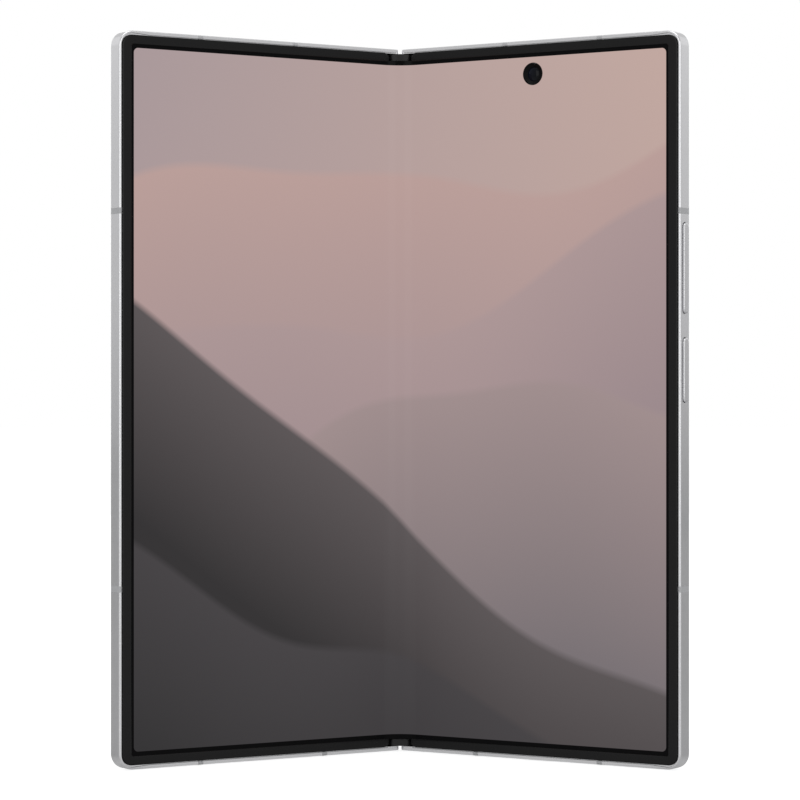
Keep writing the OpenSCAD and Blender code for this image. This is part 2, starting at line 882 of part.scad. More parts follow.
module lower_board() {
    color("#1f4d38") in_right() difference() {
        span(
            [port_x - lower_board_w / 2, mid_y + 0.9, port_depth + 2],
            [port_x + lower_board_w / 2, mid_y + 0.9 + board_t, right_battery_z[0] - battery_gap]
        );
        translate([port_x, 0, right_battery_z[0] - 7.5]) rotate([-90, 0, 0]) cylinder(h = 10, r = 0.8);
    }
}

module usb_shell() {
    color("#a6a8ab") in_right() translate([port_x, mid_y, port_recess]) {
        difference() {
            linear_extrude(port_depth) slot(port_w, port_h);
            translate([0, 0, -cut]) linear_extrude(port_depth + cut - 0.3)
                slot(port_w - 2 * port_wall, port_h - 2 * port_wall);
        }
        span([-3, 0.2, port_depth - eps], [3, 0.9, port_depth + 3]);
    }
}

module usb_tongue() {
    color("#2b2b2d") in_right() translate([port_x, mid_y, 0.9])
        span([-3.35, -0.35, 0], [3.35, 0.35, port_depth - 1.1]);
}

module bottom_speaker() {
    color("#2e2f33") in_right() difference() {
        span(
            [port_x + lower_board_w / 2 + 1.5, bay_y0, end_wall + 0.2],
            [half_w - side_wall - 3, glass_y - 0.3, right_battery_z[0] - 4.5]
        );
        for (i = [0 : speaker_holes - 1])
            round_hole(speaker_x0 + i * speaker_pitch, 0, 4, speaker_hole_d);
    }
}

module vibration_motor() {
    color("#8d8f93") in_right() {
        along_y(bay_y0, glass_y - 0.4)
            rounded([web_x + 1.5, 8], [web_x + 1.5 + motor_w, right_battery_z[0] - 7.5], 1);
    }
}

// Bar magnets that hold the phone shut, inside the long outer side
module magnets() {
    x1 = half_w - side_wall - 0.2;
    for (z = [magnet_from_end, 4 * magnet_l, body_h - magnet_from_end - magnet_l])
        span([x1 - magnet_t, bay_y0, z], [x1, bay_y0 + 1.6, z + magnet_l]);
}

module right_magnets() {
    color("#6f7276") in_right() magnets();
}

module left_magnets() {
    color("#6f7276") in_left() magnets();
}

// ---------------------------------------------------------------- inside the left half

module left_battery() {
    color("#26272b") in_left()
        along_y(bay_y0, glass_y - cover_display_t - 0.15)
        rounded(
            [web_x + battery_inset, left_battery_z[0]],
            [half_w - side_wall - 4, left_battery_z[1]],
            1.2
        );
}

module cover_board() {
    color("#1f4d38") in_left() {
        span(
            [web_x + 2, board_y, cover_board_z],
            [half_w - side_wall - 4, board_y + board_t, cover_board_z + cover_board_l]
        );
        for (x = [web_x + 5, half_w - side_wall - 7], z = [3, cover_board_l - 3])
            board_post(x, cover_board_z + z);
    }
}

module top_speaker() {
    color("#2e2f33") in_left() difference() {
        span(
            [top_speaker_x + 4.7 - top_speaker_w, bay_y0, body_h - end_wall - top_speaker_l],
            [top_speaker_x + 4.7, glass_y - cover_display_t - 0.2, body_h - end_wall - 0.2]
        );
        top_speaker_holes(body_h - end_wall - 3);
    }
}

// Card tray that slides out of the bottom edge
module sim_tray() {
    color("#c2c3c5") in_left() translate([tray_x, mid_y, 0]) difference() {
        union() {
            translate([0, 0, 0.08]) linear_extrude(tray_seat_z - 0.13) slot(tray_face_w, tray_face_h);
            translate([0, 0, tray_seat_z - 0.06])
                linear_extrude(tray_l) square([tray_w, tray_t], center = true);
        }
        span([-tray_w / 2 + 1, -2, end_wall + 1.5], [tray_w / 2 - 1, 0.15, tray_l - 0.8]);
        translate([tray_w / 2 - 1.6, 0, -cut]) cylinder(h = 2, d = 0.8, $fn = 24);
    }
}

// Cage that the tray runs in
module sim_reader() {
    w = tray_w + 2 * tray_clear;
    t = tray_t + 2 * tray_clear;
    color("#9fa1a4") in_left() translate([tray_x, mid_y, end_wall + 0.2]) difference() {
        linear_extrude(tray_l) square([w + 0.8, t + 0.8], center = true);
        translate([0, 0, -cut]) linear_extrude(tray_l + cut - 0.3) square([w, t], center = true);
    }
}

// ---------------------------------------------------------------- hinge

// Two round ends on the hinge axes and the flat between them
module stadium(r) {
    for (x = [-axis_x, axis_x]) translate([x, axis_y]) circle(r, $fn = 96);
    translate([-axis_x, axis_y - r]) square([2 * axis_x, 2 * r]);
}

module behind(y) {
    translate([-20, y]) square([40, 20]);
}

module spine_notch(z0, z1, y1) {
    span([axis_x + 1, axis_y - cut, z0], [axis_x + spine_r + cut, y1, z1]);
}

module spine_cover() {
    color("#c9cacc") in_hinge() difference() {
        translate([0, 0, spine_z0]) linear_extrude(spine_l) difference() {
            intersection() {
                stadium(spine_r);
                behind(axis_y);
            }
            stadium(spine_in_r);
        }
        // the arms pass over the sides here
        each_module() both_sides()
            spine_notch(arm_z - 0.3, cam_z + 0.3, arm_y1 + 0.1);
        both_sides()
            spine_notch(mid_z - flex_w / 2 - 2, mid_z + flex_w / 2 + 2, axis_y + 0.45);
    }
}

// Caps that close the spine's ends; the front is a shallow V
module end_cap_section() {
    intersection() {
        union() {
            stadium(spine_in_r - 0.03);
            difference() {
                stadium(spine_r - 0.05);
                behind(axis_y - 0.05);
            }
        }
        polygon([[-5, 0.1], [0, -0.2], [5, 0.1], [5, 8], [-5, 8]]);
    }
}

module hinge_end_caps() {
    color("#1c1c1e") in_hinge() both_ends()
        translate([0, 0, spine_z0]) linear_extrude(end_cap_l) end_cap_section();
}

module bracket_section() {
    intersection() {
        stadium(spine_in_r - 0.03);
        behind(axis_y);
    }
    for (x = [-axis_x, axis_x]) translate([x, axis_y]) circle(gear_root_r);
    translate([-axis_x, axis_y - gear_root_r]) square([2 * axis_x, gear_root_r + eps]);
}

// Bracket with a gear bay, a spring bay and bored end plates
module hinge_bracket() {
    bay_side = idler_x + gear_tip_r + 0.12;
    difference() {
        linear_extrude(module_l) bracket_section();
        // gear bay, with a rib left on each side of the floor
        span([-bay_side, -2, bracket_plate_t], [bay_side, 8, cam_z + 0.2]);
        both_sides()
            span([bay_side - eps, -2, bracket_plate_t], [8, axis_y + gear_tip_r + 0.1, cam_z + 0.2]);
        // spring bay
        span([-8, -2, cam_z + 0.2 - eps], [8, axis_y + 0.75, module_l - bracket_plate_t]);
        both_sides() {
            translate([axis_x, axis_y, -cut]) cylinder(h = module_l + 2 * cut, r = pin_r + seat_gap);
            translate([idler_x, idler_y, -cut])
                cylinder(h = cam_z + 1.5 + cut, r = idler_pin_r + seat_gap);
        }
    }
}

module hinge_brackets() {
    color("#8b8d90") in_hinge() each_module() hinge_bracket();
}

module hinge_pins() {
    color("#d0d1d3") in_hinge() each_module() both_sides()
        translate([axis_x, axis_y, 0.2]) cylinder(h = module_l - 0.4, r = pin_r);
}

module idler_pins() {
    color("#d0d1d3") in_hinge() each_module() both_sides()
        translate([idler_x, idler_y, 0.2]) cylinder(h = cam_z + 1.2, r = idler_pin_r);
}

function involute(a) = tan(a) * 180 / PI - a;
function tooth_half_angle(r) =
    (PI * gear_module / 2 - gear_backlash) / (2 * gear_r) * 180 / PI
    + involute(pressure_angle) - involute(acos(gear_base_r() / max(r, gear_base_r())));
function gear_base_r() = gear_r * cos(pressure_angle);
function flank_radii() = [for (i = [0 : 3]) gear_base_r() + (gear_tip_r - gear_base_r()) * i / 3];
function polar(r, a) = [r * cos(a), r * sin(a)];

// One involute tooth, centred on the given angle
module tooth(angle) {
    radii = [gear_root_r - 0.02, each flank_radii()];
    last = len(radii) - 1;
    polygon(concat(
        [for (i = [0 : last]) polar(radii[i], angle - tooth_half_angle(radii[i]))],
        [for (i = [last : -1 : 0]) polar(radii[i], angle + tooth_half_angle(radii[i]))]
    ));
}

// Gear with a tooth centred on the given angle, and teeth only where they are asked for
module gear_section(tooth_angle, from = 0, to = 360) {
    circle(gear_root_r);
    for (k = [0 : gear_teeth - 1]) {
        angle = (tooth_angle + k * tooth_pitch) % 360;
        turned = angle < 0 ? angle + 360 : angle;
        if (turned >= from && turned < to) tooth(turned);
    }
}

// Arm of one half, lying flat: toothed hub on the hinge pin, tongue and screwed flange
module hinge_arm(tooth_angle) {
    tongue_y = arm_y0 - axis_y;
    difference() {
        union() {
            translate([axis_x, axis_y, arm_z]) linear_extrude(arm_w) {
                gear_section(tooth_angle, teeth_from, teeth_to);
                translate([0, tongue_y]) square([flange_end_x - axis_x, arm_t]);
            }
            translate([axis_x, axis_y, cam_z - eps]) cam_ring(fold_angle, cam_h + eps);
            z = arm_z + arm_w / 2;
            along_y(arm_y0, arm_y1)
                rounded([barrel_x + 0.4, z - flange_w / 2], [flange_end_x, z + flange_w / 2], 0.8);
        }
        translate([axis_x, axis_y, -cut]) cylinder(h = module_l + cut, r = pin_r + pin_gap);
    }
}

// Two lobes on the end of a hub, turned to face each other in the modelled pose
module cam_ring(turn, h) {
    rotate(turn) intersection() {
        cylinder(h = h, r = gear_root_r);
        both_sides() translate([0, -gear_root_r / 2, 0]) cube([1, gear_root_r, h]);
    }
}

module hinge_arms(tooth_angle) {
    difference() {
        each_module() hinge_arm(tooth_angle);
        screw_rows() {
            translate([0, 0, arm_y0 - cut]) cylinder(h = 5, r = screw_r + 0.05, $fn = 24);
            translate([0, 0, arm_y0 - eps])
                cylinder(h = screw_head_t + 0.03, r = screw_head_r + 0.05, $fn = 24);
        }
    }
}

module right_hinge_arms() {
    color("#9a9c9f") in_right() hinge_arms(right_arm_tooth + fold_angle);
}

module left_hinge_arms() {
    color("#9a9c9f") in_left() hinge_arms(180 - left_arm_tooth + fold_angle);
}

module arm_screws() {
    screw_rows() {
        translate([0, 0, arm_y0 + 0.02]) cylinder(h = screw_head_t, r = screw_head_r, $fn = 24);
        translate([0, 0, arm_y0 + 0.1]) cylinder(h = arm_t + shelf_t - 0.2, r = screw_r, $fn = 24);
    }
}

module right_arm_screws() {
    color("#5b5d61") in_right() arm_screws();
}

module left_arm_screws() {
    color("#5b5d61") in_left() arm_screws();
}

module idler_gear(tooth_angle) {
    difference() {
        linear_extrude(arm_w - 0.4) gear_section(tooth_angle);
        translate([0, 0, -cut]) cylinder(h = module_l, r = idler_pin_r + pin_gap);
    }
}

module right_idler_gears() {
    color("#c9b36a") in_hinge() each_module()
        translate([idler_x, idler_y, arm_z + 0.2]) idler_gear(right_idler_tooth);
}

module left_idler_gears() {
    color("#c9b36a") in_hinge() each_module()
        translate([-idler_x, idler_y, arm_z + 0.2]) idler_gear(left_idler_tooth);
}

// Sliding plate that the springs press against the cams on the arms
module cam_follower() {
    difference() {
        union() {
            translate([0, 0, cam_h]) linear_extrude(follower_t) {
                for (x = [-axis_x, axis_x]) translate([x, axis_y]) circle(gear_root_r);
                translate([-axis_x, axis_y - 0.35]) square([2 * axis_x, 0.7]);
            }
            both_sides() translate([axis_x, axis_y, 0]) cam_ring(0, cam_h + eps);
        }
        both_sides() translate([axis_x, axis_y, -cut]) cylinder(h = module_l, r = pin_r + pin_gap);
    }
}

module cam_followers() {
    color("#7d7f83") in_hinge() each_module() translate([0, 0, follower_z]) cam_follower();
}

// Round wire along a helix; the end turns stop short of the parts they press on
module spring() {
    sides = 6;
    per_turn = 8;
    rings = spring_turns * per_turn;
    rise = spring_l - 2 * spring_wire_r - 0.04;
    points = [
        for (i = [0 : rings], k = [0 : sides - 1])
            let (turn = 360 * i / per_turn, a = 360 * k / sides)
            let (r = spring_r + spring_wire_r * cos(a), z = spring_wire_r * (1 + sin(a)))
            [r * cos(turn), r * sin(turn), 0.02 + z + rise * i / rings]
    ];
    walls = [
        for (i = [0 : rings - 1], k = [0 : sides - 1])
            let (a = i * sides + k, b = i * sides + (k + 1) % sides)
            each [[a, b, a + sides], [b, b + sides, a + sides]]
    ];
    polyhedron(points, concat(
        walls,
        [[for (k = [sides - 1 : -1 : 0]) k], [for (k = [0 : sides - 1]) rings * sides + k]]
    ));
}

module torque_springs() {
    color("#e0e0e2") in_hinge() each_module() both_sides()
        translate([axis_x, axis_y, spring_z]) spring();
}

// Thin plate under the screen beside the hinge
module support_plate() {
    difference() {
        span(
            [axis_x + 0.8, panel_t, bend_z0 + 0.3],
            [shelf_x - 0.05, panel_t + support_t, body_h - bend_z0 - 0.3]
        );
        for (z = [module_z[0] / 2, mid_z, (body_h + module_z[1] + module_l) / 2])
            translate([shelf_x - 3, 0, z]) rotate([-90, 0, 0]) cylinder(h = 3, r = 1.2);
    }
}

module right_support_plate() {
    color("#a0a2a5") in_right() support_plate();
}

module left_support_plate() {
    color("#a0a2a5") in_left() support_plate();
}

// Ribbon cable over the middle of the spine, drawn as a strip along a bent line
function swung(x, y) = [
    axis_x + (x - axis_x) * cos(fold_angle) + (y - axis_y) * sin(fold_angle),
    swung_y(x, y)
];
flex_half = [
    [0, idler_y + 0.5], [1.6, idler_y + 0.35], [2.5, axis_y + 0.75],
    swung(axis_x + 2.05, axis_y - 0.05), swung(barrel_x, arm_y1 - 0.25),
    swung(barrel_x + 3, arm_y1 - 0.25)
];
flex_line = [
    for (i = [len(flex_half) - 1 : -1 : 1]) [-flex_half[i].x, flex_half[i].y],
    each flex_half
];
function strip_normal(p, i) =
    let (d = p[min(i + 1, len(p) - 1)] - p[max(i - 1, 0)]) [-d.y, d.x] / norm(d);

module flex_section() {
    last = len(flex_line) - 1;
    polygon(concat(
        [for (i = [0 : last]) flex_line[i] + flex_t / 2 * strip_normal(flex_line, i)],
        [for (i = [last : -1 : 0]) flex_line[i] - flex_t / 2 * strip_normal(flex_line, i)]
    ));
}

module hinge_flex() {
    color("#c98b2e") in_hinge() translate([0, 0, mid_z - flex_w / 2])
        linear_extrude(flex_w) flex_section();
}

// ---------------------------------------------------------------- nodes

right_frame();
left_frame();
right_antenna_bands();
left_antenna_bands();
right_bezel();
left_bezel();
right_display_panel();
left_display_panel();
display_bend();
back_glass();
cover_glass();
cover_display();
camera_island();
camera_rings();
camera_lenses();
camera_modules();
flash_lens();
front_camera();
cover_camera();
volume_key();
side_key();
key_switches();
mainboard();
shield_cans();
right_battery();
charging_coil();
lower_board();
usb_shell();
usb_tongue();
bottom_speaker();
vibration_motor();
right_magnets();
left_battery();
cover_board();
top_speaker();
sim_tray();
sim_reader();
left_magnets();
spine_cover();
hinge_end_caps();
hinge_brackets();
hinge_pins();
idler_pins();
right_hinge_arms();
left_hinge_arms();
right_idler_gears();
left_idler_gears();
cam_followers();
torque_springs();
right_support_plate();
left_support_plate();
right_arm_screws();
left_arm_screws();
hinge_flex();
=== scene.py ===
"""Looks of a book-style foldable phone that stands half open on its bottom edges.

Each half is worked out as if it lay open and flat, in millimetres: x runs outward from the
fold, y from the inner screen's face at 0 to the back, and z up. Phone.place() swings such
points about the half's hinge axis into the modelled pose and turns them into metres.
"""
import json
import logging
import math
from dataclasses import dataclass, field
from enum import Enum
from typing import Iterable, Sequence

import bmesh
import bpy
import numpy as np
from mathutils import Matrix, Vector

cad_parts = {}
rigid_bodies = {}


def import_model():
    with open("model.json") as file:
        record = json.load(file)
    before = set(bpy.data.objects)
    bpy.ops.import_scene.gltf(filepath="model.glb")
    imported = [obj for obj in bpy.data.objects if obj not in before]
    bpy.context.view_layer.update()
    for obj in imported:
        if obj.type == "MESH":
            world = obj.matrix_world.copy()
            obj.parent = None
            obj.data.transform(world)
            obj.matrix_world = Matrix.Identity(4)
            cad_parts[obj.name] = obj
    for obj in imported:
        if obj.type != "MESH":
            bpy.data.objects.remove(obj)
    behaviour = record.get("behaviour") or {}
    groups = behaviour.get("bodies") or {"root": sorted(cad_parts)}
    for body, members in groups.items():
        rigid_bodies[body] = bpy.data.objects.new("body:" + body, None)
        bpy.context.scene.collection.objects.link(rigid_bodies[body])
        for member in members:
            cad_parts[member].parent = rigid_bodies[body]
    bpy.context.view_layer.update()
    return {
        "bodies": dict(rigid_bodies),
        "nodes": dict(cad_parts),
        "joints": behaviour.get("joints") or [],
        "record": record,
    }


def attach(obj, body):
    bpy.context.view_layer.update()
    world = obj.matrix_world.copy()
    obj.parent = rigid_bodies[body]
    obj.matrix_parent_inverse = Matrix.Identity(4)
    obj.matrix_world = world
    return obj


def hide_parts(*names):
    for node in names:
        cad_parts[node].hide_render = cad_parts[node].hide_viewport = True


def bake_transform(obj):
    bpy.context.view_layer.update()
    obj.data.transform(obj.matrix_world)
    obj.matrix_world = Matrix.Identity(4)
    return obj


LOG = logging.getLogger("phone")
Colour = tuple[float, float, float]
MM = 0.001
MERGE = 2e-7
SMOOTH_ANGLE = math.radians(32)
STEPPED_ANGLE = math.radians(20)


class Where(Enum):
    """Which part of the phone a set of flat coordinates belongs to."""

    RIGHT = 1
    LEFT = -1
    HINGE = 0

    @property
    def body(self) -> str:
        """Name of the moving body that carries this part."""
        return "hinge" if self is Where.HINGE else f"{self.tag}_half"

    @property
    def tag(self) -> str:
        """Word that starts the names of this part's pieces."""
        return self.name.lower()


class Plane(Enum):
    """The two axes that an outline lies in; the third is the way it is made thick."""

    XZ = (0, 2, 1)
    XY = (0, 1, 2)
    ZY = (2, 1, 0)


@dataclass(frozen=True)
class Phone:
    """Main sizes of the phone, in millimetres, and how its halves stand."""

    half_w: float = 71.6
    body_h: float = 158.4
    half_t: float = 4.2
    axis_x: float = 1.5
    axis_y: float = 1.25
    angle: float = math.radians(32.5)
    origin_y: float = 16.4813
    panel_t: float = 0.65
    glass_t: float = 0.6

    @property
    def mid_y(self) -> float:
        """Middle of a half's thickness."""
        return self.half_t / 2

    @property
    def glass_y(self) -> float:
        """Depth of the underside of the back glass."""
        return self.half_t - self.glass_t

    @property
    def vertex_x(self) -> float:
        """Flat x of the line in which the planes of the two screen faces meet."""
        cos, sin = math.cos(self.angle), math.sin(self.angle)
        return self.axis_x - (self.axis_x - self.axis_y * sin) / cos

    def about_axis(self, radius: float, angles: Iterable[float]) -> list[tuple[float, float]]:
        """Points of a circle about a half's hinge axis, in x and y."""
        return [(self.axis_x + radius * math.cos(a), self.axis_y + radius * math.sin(a))
                for a in angles]

    def place(self, points: np.ndarray, where: Where) -> np.ndarray:
        """Turns flat millimetres into the frame's metres.

        A half's points turn about (axis_x, axis_y) by the fold angle; the left half is the
        mirror image; the hinge's points only move back by origin_y.

        Args:
            points: Coordinates, with x, y and z along the last axis.
            where: The part that the points belong to.

        Returns:
            Coordinates in metres, of the same shape.
        """
        x, y, z = np.moveaxis(np.asarray(points, float), -1, 0)
        if where is Where.HINGE:
            return np.stack((x, y + self.origin_y, z), -1) * MM
        dx, dy = x - self.axis_x, y - self.axis_y
        cos, sin = math.cos(self.angle), math.sin(self.angle)
        wx = where.value * (self.axis_x + dx * cos + dy * sin)
        wy = self.axis_y - dx * sin + dy * cos + self.origin_y
        return np.stack((wx, wy, z), -1) * MM


PHONE = Phone()


# ---------------------------------------------------------------- outlines and surfaces


def box_outline(low: Sequence[float], high: Sequence[float], radii: Sequence[float],
                steps: int = 8) -> np.ndarray:
    """Rectangle with a round corner of its own radius at each corner.

    Each corner is a quarter circle: centre + radius * (cos a, sin a), with a in equal steps.

    Args:
        low: Lowest corner.
        high: Highest corner.
        radii: Radii at (low, low), (high, low), (high, high) and (low, high).
        steps: Segments of each corner.

    Returns:
        The closed loop, anticlockwise, one row a point.
    """
    turn = np.linspace(0, math.pi / 2, steps + 1)
    corners = (((low[0], low[1]), (1, 1), math.pi), ((high[0], low[1]), (-1, 1), 1.5 * math.pi),
               ((high[0], high[1]), (-1, -1), 0.0), ((low[0], high[1]), (1, -1), 0.5 * math.pi))
    parts = []
    for (corner, inward, start), radius in zip(corners, radii):
        centre = np.array(corner) + np.array(inward) * radius
        parts.append(centre + radius * np.stack((np.cos(start + turn), np.sin(start + turn)), -1))
    return np.concatenate(parts)


def slot_outline(centre: Sequence[float], length: float, width: float, upright: bool = False,
                 steps: int = 16) -> np.ndarray:
    """Straight slot with round ends, along the first axis or, if upright, the second.

    Args:
        centre: Middle of the slot.
        length: Length over the round ends.
        width: Width, twice the radius of the ends.
        upright: Whether the length runs along the second axis.
        steps: Segments of each quarter circle.

    Returns:
        The closed loop, anticlockwise.
    """
    size = (width, length) if upright else (length, width)
    low = (centre[0] - size[0] / 2, centre[1] - size[1] / 2)
    high = (centre[0] + size[0] / 2, centre[1] + size[1] / 2)
    return box_outline(low, high, (width / 2 - 1e-4,) * 4, steps)


def disc_outline(centre: Sequence[float], radius: float, sides: int = 48) -> np.ndarray:
    """Circle as a closed loop of equal steps."""
    turn = np.arange(sides) * 2 * math.pi / sides
    return np.asarray(centre) + radius * np.stack((np.cos(turn), np.sin(turn)), -1)


def inset(loop: np.ndarray, distance: float) -> np.ndarray:
    """Moves an anticlockwise loop inward by one distance.

    Each point moves along the bisector of its two edges' inward normals, by the distance
    over the cosine of half their angle, so that both edges move by the same distance.

    Args:
        loop: The closed loop.
        distance: How far inward.

    Returns:
        The moved loop, with as many points.
    """
    into = loop - np.roll(loop, 1, 0)
    out = np.roll(loop, -1, 0) - loop
    normals = []
    for edge in (into, out):
        length = np.maximum(np.linalg.norm(edge, axis=1, keepdims=True), 1e-9)
        normals.append(np.stack((-edge[:, 1], edge[:, 0]), -1) / length)
    bisector = normals[0] + normals[1]
    bisector /= np.maximum(np.linalg.norm(bisector, axis=1, keepdims=True), 1e-9)
    share = np.maximum((bisector * normals[0]).sum(1, keepdims=True), 0.35)
    return loop + bisector * distance / share


def rounded_levels(low: float, high: float, edge_low: float, edge_high: float,
                   steps: int = 4) -> list[tuple[float, float]]:
    """Heights and insets that round the two ends of a thick outline.

    Along each end the inset is edge * (1 - sin a) and the height edge * (1 - cos a), with a
    from 0 to a right angle.

    Args:
        low: First height.
        high: Last height.
        edge_low: Radius at the first end, or 0.
        edge_high: Radius at the last end, or 0.
        steps: Segments of each rounding.

    Returns:
        Pairs of inset and height, from low to high.
    """
    way = 1 if high > low else -1
    turn = np.linspace(0, math.pi / 2, steps + 1)
    first, last = ([(edge * (1 - math.sin(a)), end + into * edge * (1 - math.cos(a))) for a in turn]
                   if edge else [(0.0, end)]
                   for edge, end, into in ((edge_low, low, way), (edge_high, high, -way)))
    return first + last[::-1]


@dataclass
class Shape:
    """Points and faces of one piece, gathered surface by surface."""

    points: list[np.ndarray] = field(default_factory=list)
    faces: list[list[int]] = field(default_factory=list)
    count: int = 0

    def add(self, points: np.ndarray) -> int:
        """Keeps points.

        Args:
            points: Coordinates, with x, y and z along the last axis.

        Returns:
            The number of the first of them.
        """
        first = self.count
        self.points.append(points.reshape(-1, 3))
        self.count += self.points[-1].shape[0]
        return first

    def grid(self, points: np.ndarray, wrap: bool = False, cap: bool = False) -> "Shape":
        """Adds a surface given on a grid: a four-sided face between each four neighbours.

        Args:
            points: Grid of shape (rows, columns, 3).
            wrap: Whether the last column joins the first.
            cap: Whether the first and last rows are closed by a face each.

        Returns:
            This shape.
        """
        rows, columns = points.shape[:2]
        index = np.arange(rows * columns).reshape(rows, columns) + self.add(points)
        if cap:
            self.faces += [index[0].tolist()[::-1], index[-1].tolist()]
        if wrap:
            index = np.hstack((index, index[:, :1]))
        quads = np.stack((index[:-1, :-1], index[:-1, 1:], index[1:, 1:], index[1:, :-1]), -1)
        self.faces += quads.reshape(-1, 4).tolist()
        return self

    def stack(self, loop: np.ndarray, plane: Plane,
              levels: Iterable[tuple[float, float]]) -> "Shape":
        """Adds a solid whose outline changes by an inset at each level.

        Args:
            loop: The outline in the plane's two axes.
            plane: The plane that it lies in.
            levels: Pairs of inset and height along the third axis.

        Returns:
            This shape.
        """
        rings = []
        for distance, height in levels:
            ring = np.empty((len(loop), 3))
            ring[:, plane.value[:2]] = inset(loop, distance) if distance else loop
            ring[:, plane.value[2]] = height
            rings.append(ring)
        return self.grid(np.stack(rings), wrap=True, cap=True)

    def lathe(self, centre: Sequence[float], profile: Sequence[tuple[float, float]],
              sides: int = 64, closed: bool = False) -> "Shape":
        """Adds a profile turned about a line along y.

        A point of the profile (r, y) goes round as centre + r * (cos a, sin a) in x and z.

        Args:
            centre: The line's x and z.
            profile: Radii and heights.
            sides: Segments round the line.
            closed: Whether the profile's last point joins its first, as on a ring.

        Returns:
            This shape.
        """
        if closed:
            profile = [*profile, profile[0]]
        r, y = np.array(profile, float).T[..., None]
        turn = np.arange(sides) * 2 * math.pi / sides
        x, z = centre[0] + r * np.cos(turn), centre[1] + r * np.sin(turn)
        rings = np.stack((x, np.broadcast_to(y, x.shape), z), -1)
        return self.grid(rings, wrap=True, cap=not closed)

    def build(self, name: str, where: Where, finish: "Finish", slot: str, *nodes: str,
              body: str | None = None, smooth: float = SMOOTH_ANGLE, cut: "Shape | None" = None,
              even: bool = False, placed: bool = False, ride: bool = True) -> bpy.types.Object:
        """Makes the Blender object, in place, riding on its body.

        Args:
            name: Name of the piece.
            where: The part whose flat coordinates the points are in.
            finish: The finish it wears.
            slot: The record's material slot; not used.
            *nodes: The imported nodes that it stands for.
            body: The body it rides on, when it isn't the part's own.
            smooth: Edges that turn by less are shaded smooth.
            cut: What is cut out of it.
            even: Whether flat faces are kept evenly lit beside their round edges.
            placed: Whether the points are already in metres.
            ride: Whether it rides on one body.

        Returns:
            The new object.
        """
        points = np.concatenate(self.points)
        if not placed:
            points = PHONE.place(points, where)
        obj = mesh_object(name, points, self.faces, smooth)
        obj.data.materials.append(finish.material())
        if ride:
            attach(obj, body or where.body)
        if cut is not None:
            carve(obj, cut, where)
        if even:
            even_normals(obj)
        if nodes:
            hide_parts(*nodes)
        LOG.info("%s: %d faces", name, len(obj.data.polygons))
        return obj


def linked(name: str, data: bpy.types.ID) -> bpy.types.Object:
    """Makes an object of a mesh, a lamp or a camera.

    Args:
        name: Name of the object.
        data: What it shows.

    Returns:
        The object, linked to the scene.
    """
    obj = bpy.data.objects.new(name, data)
    bpy.context.scene.collection.objects.link(obj)
    return obj


def mesh_object(name: str, points: np.ndarray, faces: list[list[int]],
                smooth: float) -> bpy.types.Object:
    """Makes a mesh object with its doubles merged and its faces turned outward.

    Args:
        name: Name of the object.
        points: Points in metres.
        faces: Faces as lists of point numbers.
        smooth: Edges that turn by less are shaded smooth.

    Returns:
        The object, linked to the scene.
    """
    mesh = bpy.data.meshes.new(name)
    mesh.from_pydata(points.tolist(), [], faces)
    edit = bmesh.new()
    edit.from_mesh(mesh)
    bmesh.ops.remove_doubles(edit, verts=edit.verts, dist=MERGE)
    bmesh.ops.recalc_face_normals(edit, faces=edit.faces)
    bmesh.ops.triangulate(edit, faces=[face for face in edit.faces if len(face.verts) > 4])
    edit.to_mesh(mesh)
    edit.free()
    shade(mesh, smooth)
    return linked(name, mesh)


def shade(mesh: bpy.types.Mesh, smooth: float) -> None:
    """Shades a mesh smooth, but sharp along the edges that turn by more than an angle.

    Args:
        mesh: The mesh.
        smooth: The angle.
    """
    mesh.polygons.foreach_set("use_smooth", np.ones(len(mesh.polygons), bool))
    mesh.set_sharp_from_angle(angle=smooth)
    mesh.update()


def settle(obj: bpy.types.Object) -> None:
    """Writes an object's modifiers into its mesh.

    Args:
        obj: The object, left without modifiers.
    """
    bpy.context.view_layer.update()
    solid = obj.evaluated_get(bpy.context.evaluated_depsgraph_get())
    mesh = bpy.data.meshes.new_from_object(solid)
    obj.modifiers.clear()
    obj.data = mesh


def even_normals(obj: bpy.types.Object) -> None:
    """Keeps flat faces evenly lit beside their round edges.

    Args:
        obj: The object.
    """
    modifier = obj.modifiers.new("even", "WEIGHTED_NORMAL")
    modifier.mode = "FACE_AREA_WITH_ANGLE"
    modifier.weight = 80
    modifier.keep_sharp = True
    settle(obj)


def carve(obj: bpy.types.Object, cutter: Shape, where: Where) -> None:
    """Cuts a shape out of an object.

    Args:
        obj: The object that is cut.
        cutter: Closed solids that don't meet each other.
        where: The part whose flat coordinates the cutter is in.
    """
    points = PHONE.place(np.concatenate(cutter.points), where)
    tool = mesh_object("cutter", points, cutter.faces, SMOOTH_ANGLE)
    modifier = obj.modifiers.new("carve", "BOOLEAN")
    modifier.object = tool
    modifier.operation = "DIFFERENCE"
    modifier.solver = "EXACT"
    settle(obj)
    bpy.data.objects.remove(tool)
    shade(obj.data, SMOOTH_ANGLE)


def joined(shapes: Iterable[Shape]) -> Shape:
    """Puts several shapes into one.

    Args:
        shapes: The shapes.

    Returns:
        One shape with all their surfaces.
    """
    whole = Shape()
    for shape in shapes:
        first = whole.add(np.concatenate(shape.points))
        whole.faces += [[index + first for index in face] for face in shape.faces]
    return whole


def turned(centres: Iterable[Sequence[float]], profile: Sequence[tuple[float, float]],
           sides: int = 64, closed: bool = False) -> Shape:
    """The same turned profile about several lines along y.

    Args:
        centres: The lines' x and z.
        profile: Radii and heights.
        sides: Segments round each line.
        closed: Whether the profile's last point joins its first, as on a ring.

    Returns:
        One shape with all of them.
    """
    shape = Shape()
    for centre in centres:
        shape.lathe(centre, profile, sides, closed)
    return shape


